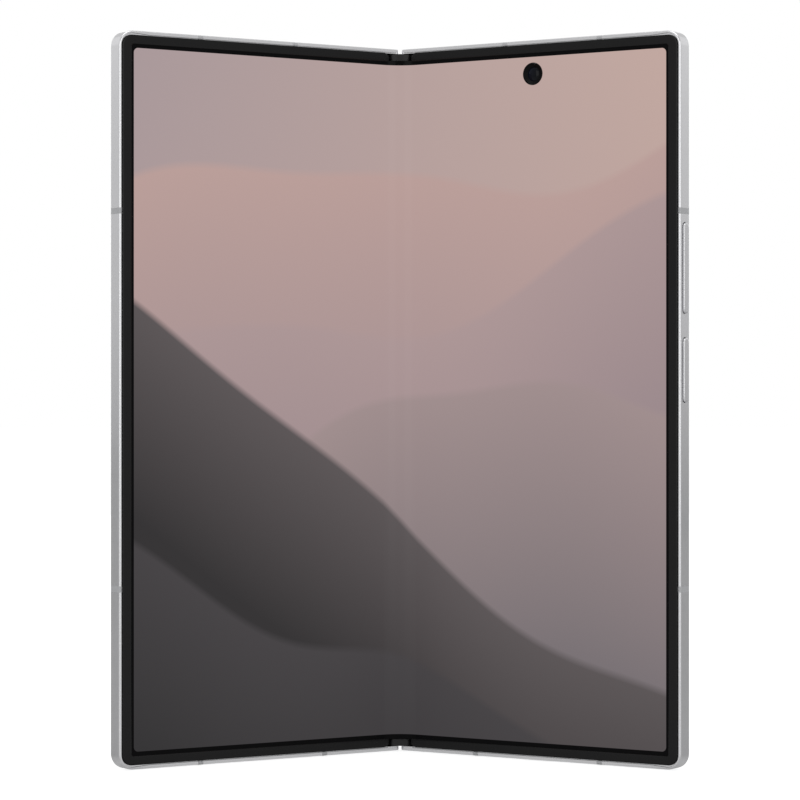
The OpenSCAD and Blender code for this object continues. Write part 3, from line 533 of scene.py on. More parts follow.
def flared(loop: np.ndarray, plane: Plane, inner: float, face: float, flare: float) -> Shape:
    """Cutter for an opening whose mouth widens by a small chamfer.

    Args:
        loop: The opening's outline.
        plane: The plane that it lies in.
        inner: Where the opening ends inside.
        face: Where the outer face lies.
        flare: Size of the chamfer.

    Returns:
        The cutter.
    """
    way = 1 if face > inner else -1
    levels = [(0.0, inner), (0.0, face - way * flare), (-flare, face), (-flare, face + way)]
    return Shape().stack(loop, plane, levels[::way])


# ---------------------------------------------------------------- finishes


def srgb(red: int, green: int, blue: int) -> Colour:
    """Turns a colour seen on a screen into the linear one that shaders take.

    A level's part of 255 is divided by 12.92 where it is dark; elsewhere it is
    ((part + 0.055) / 1.055) to the power of 2.4.

    Args:
        red: Level of red, 0 to 255.
        green: Level of green.
        blue: Level of blue.

    Returns:
        The linear colour.
    """
    parts = (red / 255, green / 255, blue / 255)
    return tuple(part / 12.92 if part <= 0.04045 else ((part + 0.055) / 1.055) ** 2.4
                 for part in parts)


def feed(tree: bpy.types.NodeTree, socket: bpy.types.NodeSocket, value: object) -> None:
    """Links a socket to another, or writes a value or colour on it.

    Args:
        tree: The node tree that the socket is in.
        socket: The input that is fed.
        value: An output, a number, a vector or a colour.
    """
    if isinstance(value, bpy.types.NodeSocket):
        tree.links.new(value, socket)
    elif isinstance(value, tuple) and len(value) == 3 and socket.type == "RGBA":
        socket.default_value = (*value, 1.0)
    else:
        socket.default_value = value


class Graph:
    """Writes the nodes of one material."""

    def __init__(self, name: str) -> None:
        """Starts a material that holds a Principled shader.

        Args:
            name: Name of the material.
        """
        self.material = bpy.data.materials.new(name)
        self.material.use_nodes = True
        self.tree = self.material.node_tree
        self.shader = self.tree.nodes["Principled BSDF"]

    def node(self, kind: str, inputs: dict | None = None, **settings: object) -> bpy.types.Node:
        """Adds a node.

        Args:
            kind: Node type without its "ShaderNode" start.
            inputs: Values or sockets, by the input's name or number.
            **settings: Properties of the node.

        Returns:
            The node.
        """
        made = self.tree.nodes.new("ShaderNode" + kind)
        for key, value in settings.items():
            setattr(made, key, value)
        for key, value in (inputs or {}).items():
            feed(self.tree, made.inputs[key], value)
        return made

    def set(self, **inputs: object) -> None:
        """Feeds the Principled shader's sockets, named with _ for a space."""
        for key, value in inputs.items():
            feed(self.tree, self.shader.inputs[key.replace("_", " ")], value)

    def math(self, operation: str, first: object, second: object = 0.0, third: object = 0.0,
             clamp: bool = False) -> bpy.types.NodeSocket:
        """Result of a Math node."""
        return self.node("Math", {0: first, 1: second, 2: third}, operation=operation,
                         use_clamp=clamp).outputs[0]

    def mix(self, share: object, first: object, second: object) -> bpy.types.NodeSocket:
        """Colour between two others."""
        return self.node("Mix", {0: share, 6: first, 7: second}, data_type="RGBA").outputs[2]

    def coords(self, stretch: Sequence[float] = (1, 1, 1)) -> bpy.types.NodeSocket:
        """Object coordinates on the piece, scaled per axis."""
        source = self.node("TexCoord").outputs["Object"]
        return self.node("Mapping", {"Vector": source, "Scale": tuple(stretch)}).outputs[0]

    def noise(self, scale: float, detail: float = 3.0,
              stretch: Sequence[float] = (1, 1, 1)) -> bpy.types.NodeSocket:
        """Noise on Object coordinates; the scale counts per metre."""
        return self.node("TexNoise", {"Vector": self.coords(stretch), "Scale": scale,
                                      "Detail": detail}).outputs[0]

    def spread(self, value: object, low: float, high: float) -> bpy.types.NodeSocket:
        """Brings a value from 0 to 1 into a range."""
        return self.node("MapRange", {"Value": value, "To Min": low, "To Max": high}).outputs[0]

    def bump(self, height: object, distance: float, strength: float) -> bpy.types.NodeSocket:
        """Normal of a surface raised by a height, given in metres of distance."""
        return self.node("Bump", {"Height": height, "Distance": distance,
                                  "Strength": strength}).outputs[0]


MATERIALS: dict["Finish", bpy.types.Material] = {}


@dataclass(frozen=True)
class Finish:
    """A finish that a piece can wear."""

    name: str
    colour: Colour

    def material(self) -> bpy.types.Material:
        """The Blender material, written once and then shared."""
        if self not in MATERIALS:
            graph = Graph(self.name)
            self.write(graph)
            MATERIALS[self] = graph.material
        return MATERIALS[self]

    def toned(self, factor: float, added: float = 0.0) -> Colour:
        """The colour made lighter or darker, up to white."""
        return tuple(min(1.0, part * factor + added) for part in self.colour)

    def write(self, graph: Graph) -> None:
        """Writes the finish's nodes.

        Args:
            graph: The new material's graph.
        """
        graph.set(Base_Color=self.colour)


@dataclass(frozen=True)
class Metal(Finish):
    """Blasted, brushed or polished metal, with fine grain and slight handling marks."""

    rough: float = 0.32
    grain: float = 9000.0
    stretch: tuple[float, float, float] = (1, 1, 1)
    depth: float = 7e-7
    marks: float = 0.04
    mark_scale: float = 90.0

    def write(self, graph: Graph) -> None:
        """Grain moves the roughness and a bump; broad marks shade the colour a little.

        Args:
            graph: The new material's graph.
        """
        grain = graph.noise(self.grain, 4.0, self.stretch)
        marks = graph.noise(self.mark_scale, 4.0)
        darker = self.toned(1 - 2 * self.marks)
        uneven = graph.math("MULTIPLY_ADD", marks, self.marks * 2, graph.spread(grain, -0.03, 0.03))
        graph.set(Base_Color=graph.mix(marks, darker, self.colour), Metallic=1.0,
                  Roughness=graph.math("ADD", uneven, self.rough - self.marks),
                  Normal=graph.bump(grain, self.depth, 0.5))


@dataclass(frozen=True)
class Plastic(Finish):
    """Moulded or painted plastic with spark texture."""

    rough: float = 0.45
    grain: float = 6000.0
    depth: float = 4e-6
    coat: float = 0.0
    level: float = 0.5
    tone_scale: float = 120.0

    def write(self, graph: Graph) -> None:
        """Fine noise gives the texture, broad noise a faint change of tone.

        Args:
            graph: The new material's graph.
        """
        grain = graph.noise(self.grain)
        tone = graph.noise(self.tone_scale)
        graph.set(Base_Color=graph.mix(tone, self.colour, self.toned(1.18, 0.002)),
                  Coat_Weight=self.coat, Coat_Roughness=0.12, Specular_IOR_Level=self.level,
                  Roughness=graph.spread(grain, self.rough - 0.08, self.rough + 0.08),
                  Normal=graph.bump(grain, self.depth, 0.5))


@dataclass(frozen=True)
class Glazed(Finish):
    """Glass over an opaque backing: a clear coat over a satin or black ground."""

    rough: float = 0.05
    frost: float = 0.0
    coat: float = 1.0
    level: float = 0.5
    smudge_scale: float = 45.0
    frost_scale: float = 14000.0

    def write(self, graph: Graph) -> None:
        """The coat holds the gloss; frost, as fine noise, roughens the ground under it.

        Args:
            graph: The new material's graph.
        """
        smudge = graph.noise(self.smudge_scale, 5.0)
        graph.set(Base_Color=graph.mix(smudge, self.colour, self.toned(1.06, 0.001)),
                  Coat_Weight=self.coat, Coat_Roughness=0.03, Specular_IOR_Level=self.level,
                  Roughness=graph.spread(smudge, self.rough, self.rough + 0.05))
        if self.frost:
            graph.set(Normal=graph.bump(graph.noise(self.frost_scale, 2.0), self.frost, 0.6))


@dataclass(frozen=True)
class Coated(Finish):
    """Lens glass with a painted reflection: its coating's tint is painted into the colour towards
    the rim.
    """

    # Colour of the coating's reflection, painted into the base colour: a painted reflection.
    tint: Colour = (0.03, 0.05, 0.16)
    coat: float = 1.0
    swirl_scale: float = 700.0

    def write(self, graph: Graph) -> None:
        """A facing ratio mixes the coating's tint into the dark glass: a painted reflection,
        strongest where the surface turns away from the view.

        Args:
            graph: The new material's graph.
        """
        facing = graph.node("LayerWeight", {"Blend": 0.35}).outputs["Facing"]
        swirl = graph.noise(self.swirl_scale, 2.0)
        share = graph.math("MULTIPLY", facing, graph.spread(swirl, 0.7, 1.2), clamp=True)
        # Painted reflection: the tint is mixed into the base colour where the lens turns away from
        # the view.
        graph.set(Base_Color=graph.mix(share, self.colour, self.tint), Coat_Weight=self.coat,
                  Coat_Roughness=0.02, Specular_IOR_Level=0.5 * self.coat,
                  Roughness=graph.spread(swirl, 0.04, 0.09))


@dataclass(frozen=True)
class Board(Finish):
    """Circuit board: solder mask over copper tracks."""

    track_scale: float = 420.0
    track_share: float = 0.82

    def write(self, graph: Graph) -> None:
        """Thin stripes of a wave pattern, broken by noise, stand for tracks.

        Args:
            graph: The new material's graph.
        """
        tracks = graph.node("TexWave", {"Vector": graph.coords(), "Scale": self.track_scale,
                                        "Distortion": 6.0, "Detail": 1.0}).outputs["Fac"]
        line = graph.math("GREATER_THAN", tracks, self.track_share)
        graph.set(Base_Color=graph.mix(line, self.colour, self.toned(1.7, 0.02)),
                  Roughness=graph.spread(tracks, 0.3, 0.4), Normal=graph.bump(line, 1.5e-5, 0.6))


@dataclass(frozen=True)
class Wrapped(Finish):
    """Foil-wrapped cell, slightly crinkled."""

    crinkle_scale: float = 320.0

    def write(self, graph: Graph) -> None:
        """Stretched noise makes the crinkles; a soft sheen shows them.

        Args:
            graph: The new material's graph.
        """
        crinkle = graph.noise(self.crinkle_scale, 5.0, (1, 1, 0.4))
        graph.set(Base_Color=graph.mix(crinkle, self.colour, self.toned(1.5)), Metallic=0.35,
                  Roughness=graph.spread(crinkle, 0.35, 0.55),
                  Normal=graph.bump(crinkle, 8e-5, 0.5))


@dataclass(frozen=True)
class Ridge:
    """One soft ridge of the picture on the screen: a line that waves, and what lies under it."""

    base: float
    swing: float
    waves: float
    shift: float
    slope: float
    crest: Colour
    foot: Colour
    soft: float = 0.012
    deep: float = 0.45
    ripple_waves: float = 2.3
    ripple_swing: float = 0.28

    def line(self, graph: Graph, u: bpy.types.NodeSocket) -> bpy.types.NodeSocket:
        """Height of the ridge's line.

        It is base + swing * sin(waves * u + shift) + slope * (u - 0.5), with a lower wave on
        it that is ripple_waves times as dense and ripple_swing times as high.

        Args:
            graph: The material's graph.
            u: Place across the open phone, 0 to 1.

        Returns:
            The socket of the height, 0 to 1 up the phone.
        """
        line = self.base
        for dense, high, shift in ((1.0, 1.0, 1.0), (self.ripple_waves, self.ripple_swing, 2.0)):
            phase = graph.math("MULTIPLY_ADD", u, self.waves * dense, self.shift * shift)
            line = graph.math("MULTIPLY_ADD", graph.math("SINE", phase), self.swing * high, line)
        return graph.math("MULTIPLY_ADD", graph.math("SUBTRACT", u, 0.5), self.slope, line)


@dataclass(frozen=True)
class LitScreen(Finish):
    """The folding screen, lit: a black border round a generic picture of soft ridges."""

    border_x: float = 68.1
    border_low: float = 3.84
    border_high: float = 154.67
    corner_r: float = 1.0
    hole: tuple[float, float] = (35.15, 150.97)
    hole_r: float = 2.47
    edge: float = 0.04
    light: float = 1.0
    haze: Colour = srgb(176, 154, 152)
    sky: tuple[Colour, Colour] = (srgb(168, 152, 154), srgb(194, 168, 160))
    ridges: tuple[Ridge, ...] = (
        Ridge(0.82, 0.050, 5.2, 0.6, 0.12, srgb(186, 158, 153), srgb(160, 142, 145)),
        Ridge(0.66, 0.060, 4.6, 2.3, 0.18, srgb(172, 150, 150), srgb(146, 131, 136)),
        Ridge(0.46, 0.055, 6.1, 4.4, 0.16, srgb(160, 142, 142), srgb(112, 107, 111)),
        Ridge(0.35, 0.040, 5.0, 1.3, -0.52, srgb(92, 86, 87), srgb(52, 50, 51), deep=0.3),
        Ridge(0.12, 0.035, 6.5, 3.4, -0.42, srgb(70, 67, 69), srgb(50, 49, 50), deep=0.3),
    )

    def write(self, graph: Graph) -> None:
        """Paints the ridges one over another, from the far one to the near one.

        The piece's own coordinates u and v go from 0 to 1 across the open phone and up it.
        What lies under a ridge's line takes a colour that goes from the crest's to the
        foot's over the depth. The border is black.

        Args:
            graph: The new material's graph.
        """
        place = graph.node("SeparateXYZ", {0: graph.node("TexCoord").outputs["UV"]})
        u, v = place.outputs[0], place.outputs[1]
        picture = graph.mix(graph.math("SMOOTH_MIN", v, 1.0, 0.1), self.haze,
                            graph.mix(u, *self.sky))
        for ridge in self.ridges:
            depth = graph.math("SUBTRACT", ridge.line(graph, u), v)
            colour = graph.mix(graph.math("DIVIDE", depth, ridge.deep, clamp=True),
                               ridge.crest, ridge.foot)
            cover = graph.math("DIVIDE", depth, ridge.soft, clamp=True)
            picture = graph.mix(cover, picture, colour)
        film = graph.noise(30.0, 4.0)
        graph.set(Base_Color=self.colour, Emission_Strength=self.light, Specular_IOR_Level=0.06,
                  Emission_Color=graph.mix(self.inside(graph, u, v), (0.0, 0.0, 0.0), picture),
                  Roughness=graph.spread(film, 0.16, 0.22))

    def inside(self, graph: Graph, u: bpy.types.NodeSocket,
               v: bpy.types.NodeSocket) -> bpy.types.NodeSocket:
        """Tells the lit area from its border and the camera's hole.

        The distance outside a rectangle pulled in by corner_r is the length of the two
        positive overshoots; past corner_r lies the border.

        Args:
            graph: The material's graph.
            u: Place across the open phone, 0 to 1.
            v: Place up it, 0 to 1.

        Returns:
            The socket of a value that is 1 where the screen is lit and 0 elsewhere.
        """
        x = graph.math("MULTIPLY", graph.math("SUBTRACT", u, 0.5), PHONE.half_w * 2)
        z = graph.math("MULTIPLY", v, PHONE.body_h)
        middle = (self.border_low + self.border_high) / 2
        squares = 0.0
        for from_middle, reach in ((x, self.border_x),
                                   (graph.math("SUBTRACT", z, middle), self.border_high - middle)):
            far = graph.math("ABSOLUTE", from_middle)
            over = graph.math("MAXIMUM", graph.math("SUBTRACT", far, reach - self.corner_r), 0.0)
            squares = graph.math("MULTIPLY_ADD", over, over, squares)
        outside = graph.math("SUBTRACT", graph.math("SQRT", squares), self.corner_r)
        lit = graph.math("SUBTRACT", 1.0, graph.math("DIVIDE", outside, self.edge, clamp=True))
        here = graph.node("CombineXYZ", {0: x, 1: z}).outputs[0]
        hole = graph.node("VectorMath", {0: here, 1: (*self.hole, 0.0)}, operation="DISTANCE")
        past = graph.math("SUBTRACT", hole.outputs["Value"], self.hole_r)
        return graph.math("MULTIPLY", lit, graph.math("DIVIDE", past, self.edge, clamp=True))


FRAME_METAL = Metal("satin_silver_frame", srgb(214, 214, 216), rough=0.22, grain=12000.0)
KEY_METAL = Metal("satin_silver_keys", srgb(210, 210, 212), rough=0.28, grain=12000.0)
ISLAND_METAL = Metal("blasted_island", srgb(196, 197, 200), rough=0.36, grain=15000.0,
                     depth=1.2e-6)
RING_METAL = Metal("turned_rings", srgb(222, 223, 226), rough=0.16, grain=4000.0, depth=5e-7,
                   marks=0.02)
BAND = Plastic("grey_antenna_bands", srgb(184, 185, 187), rough=0.5, grain=9000.0, depth=5e-7)
BEZEL = Plastic("black_bezel", srgb(9, 9, 10), rough=0.28, grain=9000.0, depth=6e-7, level=0.2)
CAP = Plastic("black_end_caps", srgb(19, 19, 20), rough=0.42, grain=7000.0, level=0.3)
BLACK = Plastic("moulded_black", srgb(22, 22, 23), rough=0.4)
FROSTED = Glazed("frosted_back_glass", srgb(176, 178, 182), rough=0.3, frost=3e-6, coat=0.25)
DARK_GLASS = Glazed("black_cover_glass", srgb(11, 12, 14), rough=0.06, level=0.1)
WINDOW = Glazed("camera_windows", srgb(7, 7, 9), rough=0.06, coat=0.8, level=0.05)
# The lenses' tints are painted reflections of their coatings.
LENS = Coated("coated_lenses", srgb(9, 10, 16), tint=srgb(62, 92, 168))
SMALL_LENS = Coated("small_lenses", srgb(5, 6, 9), tint=srgb(26, 36, 62), coat=0.12)
WELL = Plastic("lens_wells", srgb(5, 5, 6), rough=0.5, level=0.08)
FLASH = Glazed("flash_window", srgb(240, 226, 176), rough=0.18, frost=1e-5)
SCREEN = LitScreen("lit_folding_screen", srgb(4, 4, 5))
STEEL = Metal("machined_steel", srgb(140, 141, 144), rough=0.3, grain=2500.0, stretch=(1, 1, 0.1))
BRIGHT_STEEL = Metal("ground_steel", srgb(198, 199, 202), rough=0.14, grain=3000.0)
DARK_STEEL = Metal("blackened_steel", srgb(84, 85, 88), rough=0.34, grain=3500.0)
SHEET = Metal("tinned_sheet", srgb(168, 169, 172), rough=0.28, grain=2500.0, stretch=(1, 1, 0.08))
BRASS = Metal("sintered_brass", srgb(206, 184, 118), rough=0.34, grain=5000.0)
COPPER = Metal("copper_winding", srgb(190, 116, 66), rough=0.3, grain=2500.0, stretch=(1, 1, 0.15))
GREEN_BOARD = Board("circuit_board", srgb(22, 78, 52))
CELL = Wrapped("foil_cell", srgb(44, 45, 49))
FLEX = Plastic("amber_flex", srgb(190, 126, 44), rough=0.3, coat=0.4)
DARK_MOULD = Plastic("dark_moulding", srgb(44, 45, 48), rough=0.48)
GOLD = Metal("gilt_contacts", srgb(230, 196, 112), rough=0.2, grain=3000.0)


# ---------------------------------------------------------------- frame


@dataclass
class FrameHalf:
    """Metal frame of one half: rim with its antenna bands, wall round the spine, plate."""

    where: Where
    corner_r: float = 3.3
    edge_r: float = 0.34
    side_wall: float = 2.0
    end_wall: float = 1.6
    hinge_wall: float = 1.0
    near_x: float = 0.34
    nose_r: float = 1.2
    relief_x: float = 6.0
    taper: float = 4.0
    seat_t: float = 0.22
    seat_x: float = 3.8
    seat_side: float = 0.53
    seat_end: float = 0.79
    seat_edge: float = 0.03
    glass_inset: float = 0.8
    glass_start_x: float = 5.3
    glass_gap: float = 0.07
    pocket_edge: float = 0.06
    cavity_r: float = 2.5
    lip_x: float = 0.35
    lip_y: float = 3.75
    lip_r: float = 0.2
    ledge_x: float = 6.15
    wall_edge: float = 0.05
    arm_y1: float = 1.6
    shelf_y: float = 2.2
    barrel_x: float = 4.95
    shelf_x: float = 13.2
    web_x: float = 14.0
    web_t: float = 0.5
    band_w: float = 1.3
    band_sink: float = 0.012
    side_band: float = 38.7
    end_band_x: float = 51.8
    inner_band_x: tuple[float, float] = (20.4, 28.0)
    arc_steps: int = 14
    jump: float = 0.01

    @property
    def lengths(self) -> np.ndarray:
        """Distances along the rim at which its straight and round stretches end.

        Returns:
            Six distances, from 0 to the rim's whole length.
        """
        end = PHONE.half_w - self.corner_r
        arc = self.corner_r * math.pi / 2
        side = PHONE.body_h - 2 * self.corner_r
        return np.cumsum([0.0, end, arc, side, arc, end])

    def along(self, s: np.ndarray) -> tuple[np.ndarray, np.ndarray]:
        """Points on the rim's outer line and the outward normals there.

        The line runs out along the bottom from x = 0, round a quarter circle of corner_r, up
        the side, round the next one, and back along the top to x = 0.

        Args:
            s: Distances along the line.

        Returns:
            The points and the unit normals, in x and z.
        """
        mark = self.lengths
        r, w, h = self.corner_r, PHONE.half_w, PHONE.body_h
        a1 = np.clip((s - mark[1]) / r, 0, math.pi / 2) - math.pi / 2
        a2 = np.clip((s - mark[3]) / r, 0, math.pi / 2)
        turn = np.where(s < mark[3], a1, a2)
        normal = np.stack((np.cos(turn), np.sin(turn)), -1)
        cx = np.where(s < mark[1], s, np.where(s > mark[4], mark[5] - s, w - r))
        cz = np.where(s < mark[2], r, np.where(s > mark[3], h - r, r + s - mark[2]))
        return np.stack((cx, cz), -1) + r * normal, normal

    def section(self, s: np.ndarray) -> np.ndarray:
        """Sections of the rim at given distances.

        The front and back edges are quarter circles of edge_r. Under the bezel the front is
        sunk by seat_t. The wall is thin over the hinge, where the front also falls back as a
        circle of nose_r about the corner.

        Args:
            s: Distances along the line.

        Returns:
            Grid of points (stations, section points, 3).
        """
        points, normal = self.along(s)
        mark = self.lengths
        x = np.minimum(s, mark[5] - s)
        on_end = np.clip((mark[1] - x) / self.taper, 0, 1)
        wall = np.where(x < self.relief_x, self.hinge_wall,
                        self.side_wall + (self.end_wall - self.side_wall) * on_end)
        over = np.clip((self.near_x + self.nose_r - x) / self.nose_r, 0, 1)
        front = self.nose_r * (1 - np.sqrt(1 - over ** 2))
        e, t, step = self.edge_r, PHONE.half_t, self.seat_edge
        sunk = self.seat_t * (x > self.seat_x)
        lip = self.seat_side + (self.seat_end - self.seat_side) * on_end
        pocket = np.where(x < self.glass_start_x, wall, self.glass_inset)
        floor = np.where(x < self.glass_start_x, t, PHONE.glass_y) - self.glass_gap
        turn = np.linspace(0, math.pi / 2, 7)
        rows = [(wall, front + sunk), (lip + step, front + sunk), (lip, front + sunk * 0.8),
                (lip, front + sunk * 0.2), (lip - step, front)]
        rows += [(e * (1 - math.sin(a)), front + e * (1 - math.cos(a))) for a in turn]
        rows += [(e * (1 - math.cos(a)), t - e * (1 - math.sin(a))) for a in turn]
        rows += [(pocket - self.pocket_edge, t), (pocket, t - self.pocket_edge),
                 (pocket, floor), (wall, floor)]
        u, y = (np.stack([np.broadcast_to(row[i], s.shape) for row in rows], -1) for i in (0, 1))
        inner = points[:, None, :] - u[..., None] * normal[:, None, :]
        return np.stack((inner[..., 0], y, inner[..., 1]), -1)

    def stations(self, first: float, last: float) -> np.ndarray:
        """Distances between two ends at which the rim needs a section.

        Args:
            first: Where the stretch starts.
            last: Where it ends.

        Returns:
            The distances, in order.
        """
        mark = self.lengths
        nose = self.near_x + self.nose_r * (1 - np.cos(np.linspace(0, math.pi / 2, 9)))
        steps = [self.seat_x, self.seat_x + self.jump, self.glass_start_x,
                 self.glass_start_x + self.jump, self.relief_x - self.jump, self.relief_x]
        near = np.concatenate((nose, steps))
        arcs = [np.linspace(mark[i], mark[i + 1], self.arc_steps) for i in (1, 3)]
        tapers = [mark[1] - self.taper, mark[4] + self.taper]
        every = np.concatenate((near, mark[5] - near, *arcs, tapers))
        return np.unique(np.concatenate(([first, last], every[(every > first) & (every < last)])))

    def band_spans(self) -> list[tuple[float, float]]:
        """Where the antenna bands lie.

        Returns:
            The start and end of each along the rim.
        """
        mark = self.lengths
        up = self.side_band - self.corner_r
        middles = [self.inner_band_x[0], self.end_band_x, mark[2] + up, mark[3] - up,
                   mark[5] - self.end_band_x, mark[5] - self.inner_band_x[1]]
        return [(m - self.band_w / 2, m + self.band_w / 2) for m in middles]

    def rim(self) -> Shape:
        """The rim's metal, in the stretches between the bands.

        Returns:
            The shape.
        """
        shape = Shape()
        spans = self.band_spans()
        starts = [self.near_x] + [end for _, end in spans]
        ends = [start for start, _ in spans] + [self.lengths[5] - self.near_x]
        for first, last in zip(starts, ends):
            shape.grid(self.section(self.stations(first, last)), wrap=True, cap=True)
        return shape

    def bands(self) -> Shape:
        """The bands, sunk by a hair below the metal.

        Returns:
            The shape.
        """
        shape = Shape()
        for first, last in self.band_spans():
            grid = self.section(self.stations(first, last))
            towards = grid.mean(axis=1, keepdims=True) - grid
            towards /= np.linalg.norm(towards, axis=2, keepdims=True)
            shape.grid(grid + self.band_sink * towards, wrap=True, cap=True)
        return shape

    def inner_wall(self) -> Shape:
        """Wall round the spine with its lip on the back, and the plate behind the screen.

        The cavity is an arc of cavity_r about the hinge axis, from straight back of it to
        where it meets the front of the wall.

        Returns:
            The shape.
        """
        p, r = PHONE, self.lip_r
        lip = [(self.lip_x + r * (1 - math.sin(a)), p.half_t - r * (1 - math.cos(a)))
               for a in np.linspace(0, math.pi / 2, 6)]
        end = math.asin((self.arm_y1 - p.axis_y) / self.cavity_r)
        arc = p.about_axis(self.cavity_r, np.linspace(math.pi / 2, end, 20))
        ledge_y, seat_y = p.glass_y - p.glass_t, p.glass_y - self.glass_gap
        barrel = [*lip, (self.lip_x, self.lip_y), *arc, (self.barrel_x, self.arm_y1),
                  (self.barrel_x, ledge_y), (self.ledge_x, ledge_y), (self.ledge_x, seat_y),
                  (self.glass_start_x, seat_y), (self.glass_start_x, p.half_t - self.wall_edge),
                  (self.glass_start_x - self.wall_edge, p.half_t)]
        side, web_y = p.half_w - self.side_wall, p.panel_t + self.web_t
        plate = [(self.barrel_x, self.arm_y1), (self.shelf_x, self.arm_y1),
                 (self.shelf_x, p.panel_t), (side, p.panel_t), (side, web_y),
                 (self.web_x, web_y), (self.web_x, self.shelf_y), (self.barrel_x, self.shelf_y)]
        shape = Shape()
        for outline, end_t in ((barrel, self.hinge_wall), (plate, self.end_wall)):
            shape.stack(np.array(outline), Plane.XY, [(0, end_t), (0, p.body_h - end_t)])
        return shape

    def build(self, cutter: Shape) -> None:
        """Makes the frame's pieces.

        Args:
            cutter: The openings in the rim.
        """
        tag = self.where.tag
        metal = (self.where, FRAME_METAL, "frame_metal", f"{tag}_frame")
        self.rim().build(f"{tag}_rim", *metal, cut=cutter, even=True)
        self.inner_wall().build(f"{tag}_spine_wall", *metal)
        self.bands().build(f"{tag}_bands", self.where, BAND, "band_plastic",
                           f"{tag}_antenna_bands", cut=cutter)


@dataclass
class Openings:
    """Openings in the rims: keys, charging port, speakers, microphones and tray."""

    volume: tuple[float, float] = (107.45, 19.4)
    side: tuple[float, float] = (85.6, 13.8)
    key_w: float = 2.2
    key_gap: float = 0.12
    key_depth: float = 2.4
    end_depth: float = 1.9
    port_x: float = 35.8
    port_size: tuple[float, float] = (8.8, 2.96)
    low_speaker: tuple[float, int] = (46.65, 6)
    top_speaker: tuple[float, int] = (30.4, 3)
    speaker_pitch: float = 2.0
    hole_d: float = 1.1
    mic_d: float = 0.7
    low_mic_x: float = 26.3
    top_mic_x: float = 38.0
    tray_x: float = 30.0
    tray_mic_x: float = 41.0
    tray_face: tuple[float, float] = (14.6, 2.1)
    flare: float = 0.09

    def hole(self, x: float, diameter: float, at_top: bool) -> Shape:
        """A round hole through the top or bottom wall.

        Args:
            x: Place along the wall.
            diameter: Width of the hole.
            at_top: Whether it is in the top wall.

        Returns:
            The cutter.
        """
        loop = disc_outline((x, PHONE.mid_y), diameter / 2, 24)
        face, way = (PHONE.body_h, -1) if at_top else (0.0, 1)
        return flared(loop, Plane.XY, face + way * self.end_depth, face, self.flare * 0.7)

    def speaker(self, row: tuple[float, int], at_top: bool) -> list[Shape]:
        """A row of holes that starts at an x and goes outward."""
        return [self.hole(row[0] + i * self.speaker_pitch, self.hole_d, at_top)
                for i in range(row[1])]

    def right(self) -> Shape:
        """The openings of the right rim.

        Returns:
            The cutter.
        """
        parts = []
        for z, length in (self.volume, self.side):
            loop = slot_outline((z, PHONE.mid_y), length + 2 * self.key_gap,
                                self.key_w + 2 * self.key_gap)
            parts.append(flared(loop, Plane.ZY, PHONE.half_w - self.key_depth, PHONE.half_w,
                                self.flare))
        port = slot_outline((self.port_x, PHONE.mid_y), *self.port_size)
        parts.append(flared(port, Plane.XY, self.end_depth, 0.0, self.flare))
        parts += self.speaker(self.low_speaker, False)
        parts += [self.hole(self.low_mic_x, self.mic_d, False),
                  self.hole(self.top_mic_x, self.mic_d, True)]
        return joined(parts)

    def left(self) -> Shape:
        """The openings of the left rim.

        Returns:
            The cutter.
        """
        tray = slot_outline((self.tray_x, PHONE.mid_y), *self.tray_face)
        return joined([flared(tray, Plane.XY, self.end_depth, 0.0, self.flare * 0.6),
                       *self.speaker(self.top_speaker, True),
                       self.hole(self.tray_mic_x, self.mic_d, False)])


# ---------------------------------------------------------------- screen and bezel


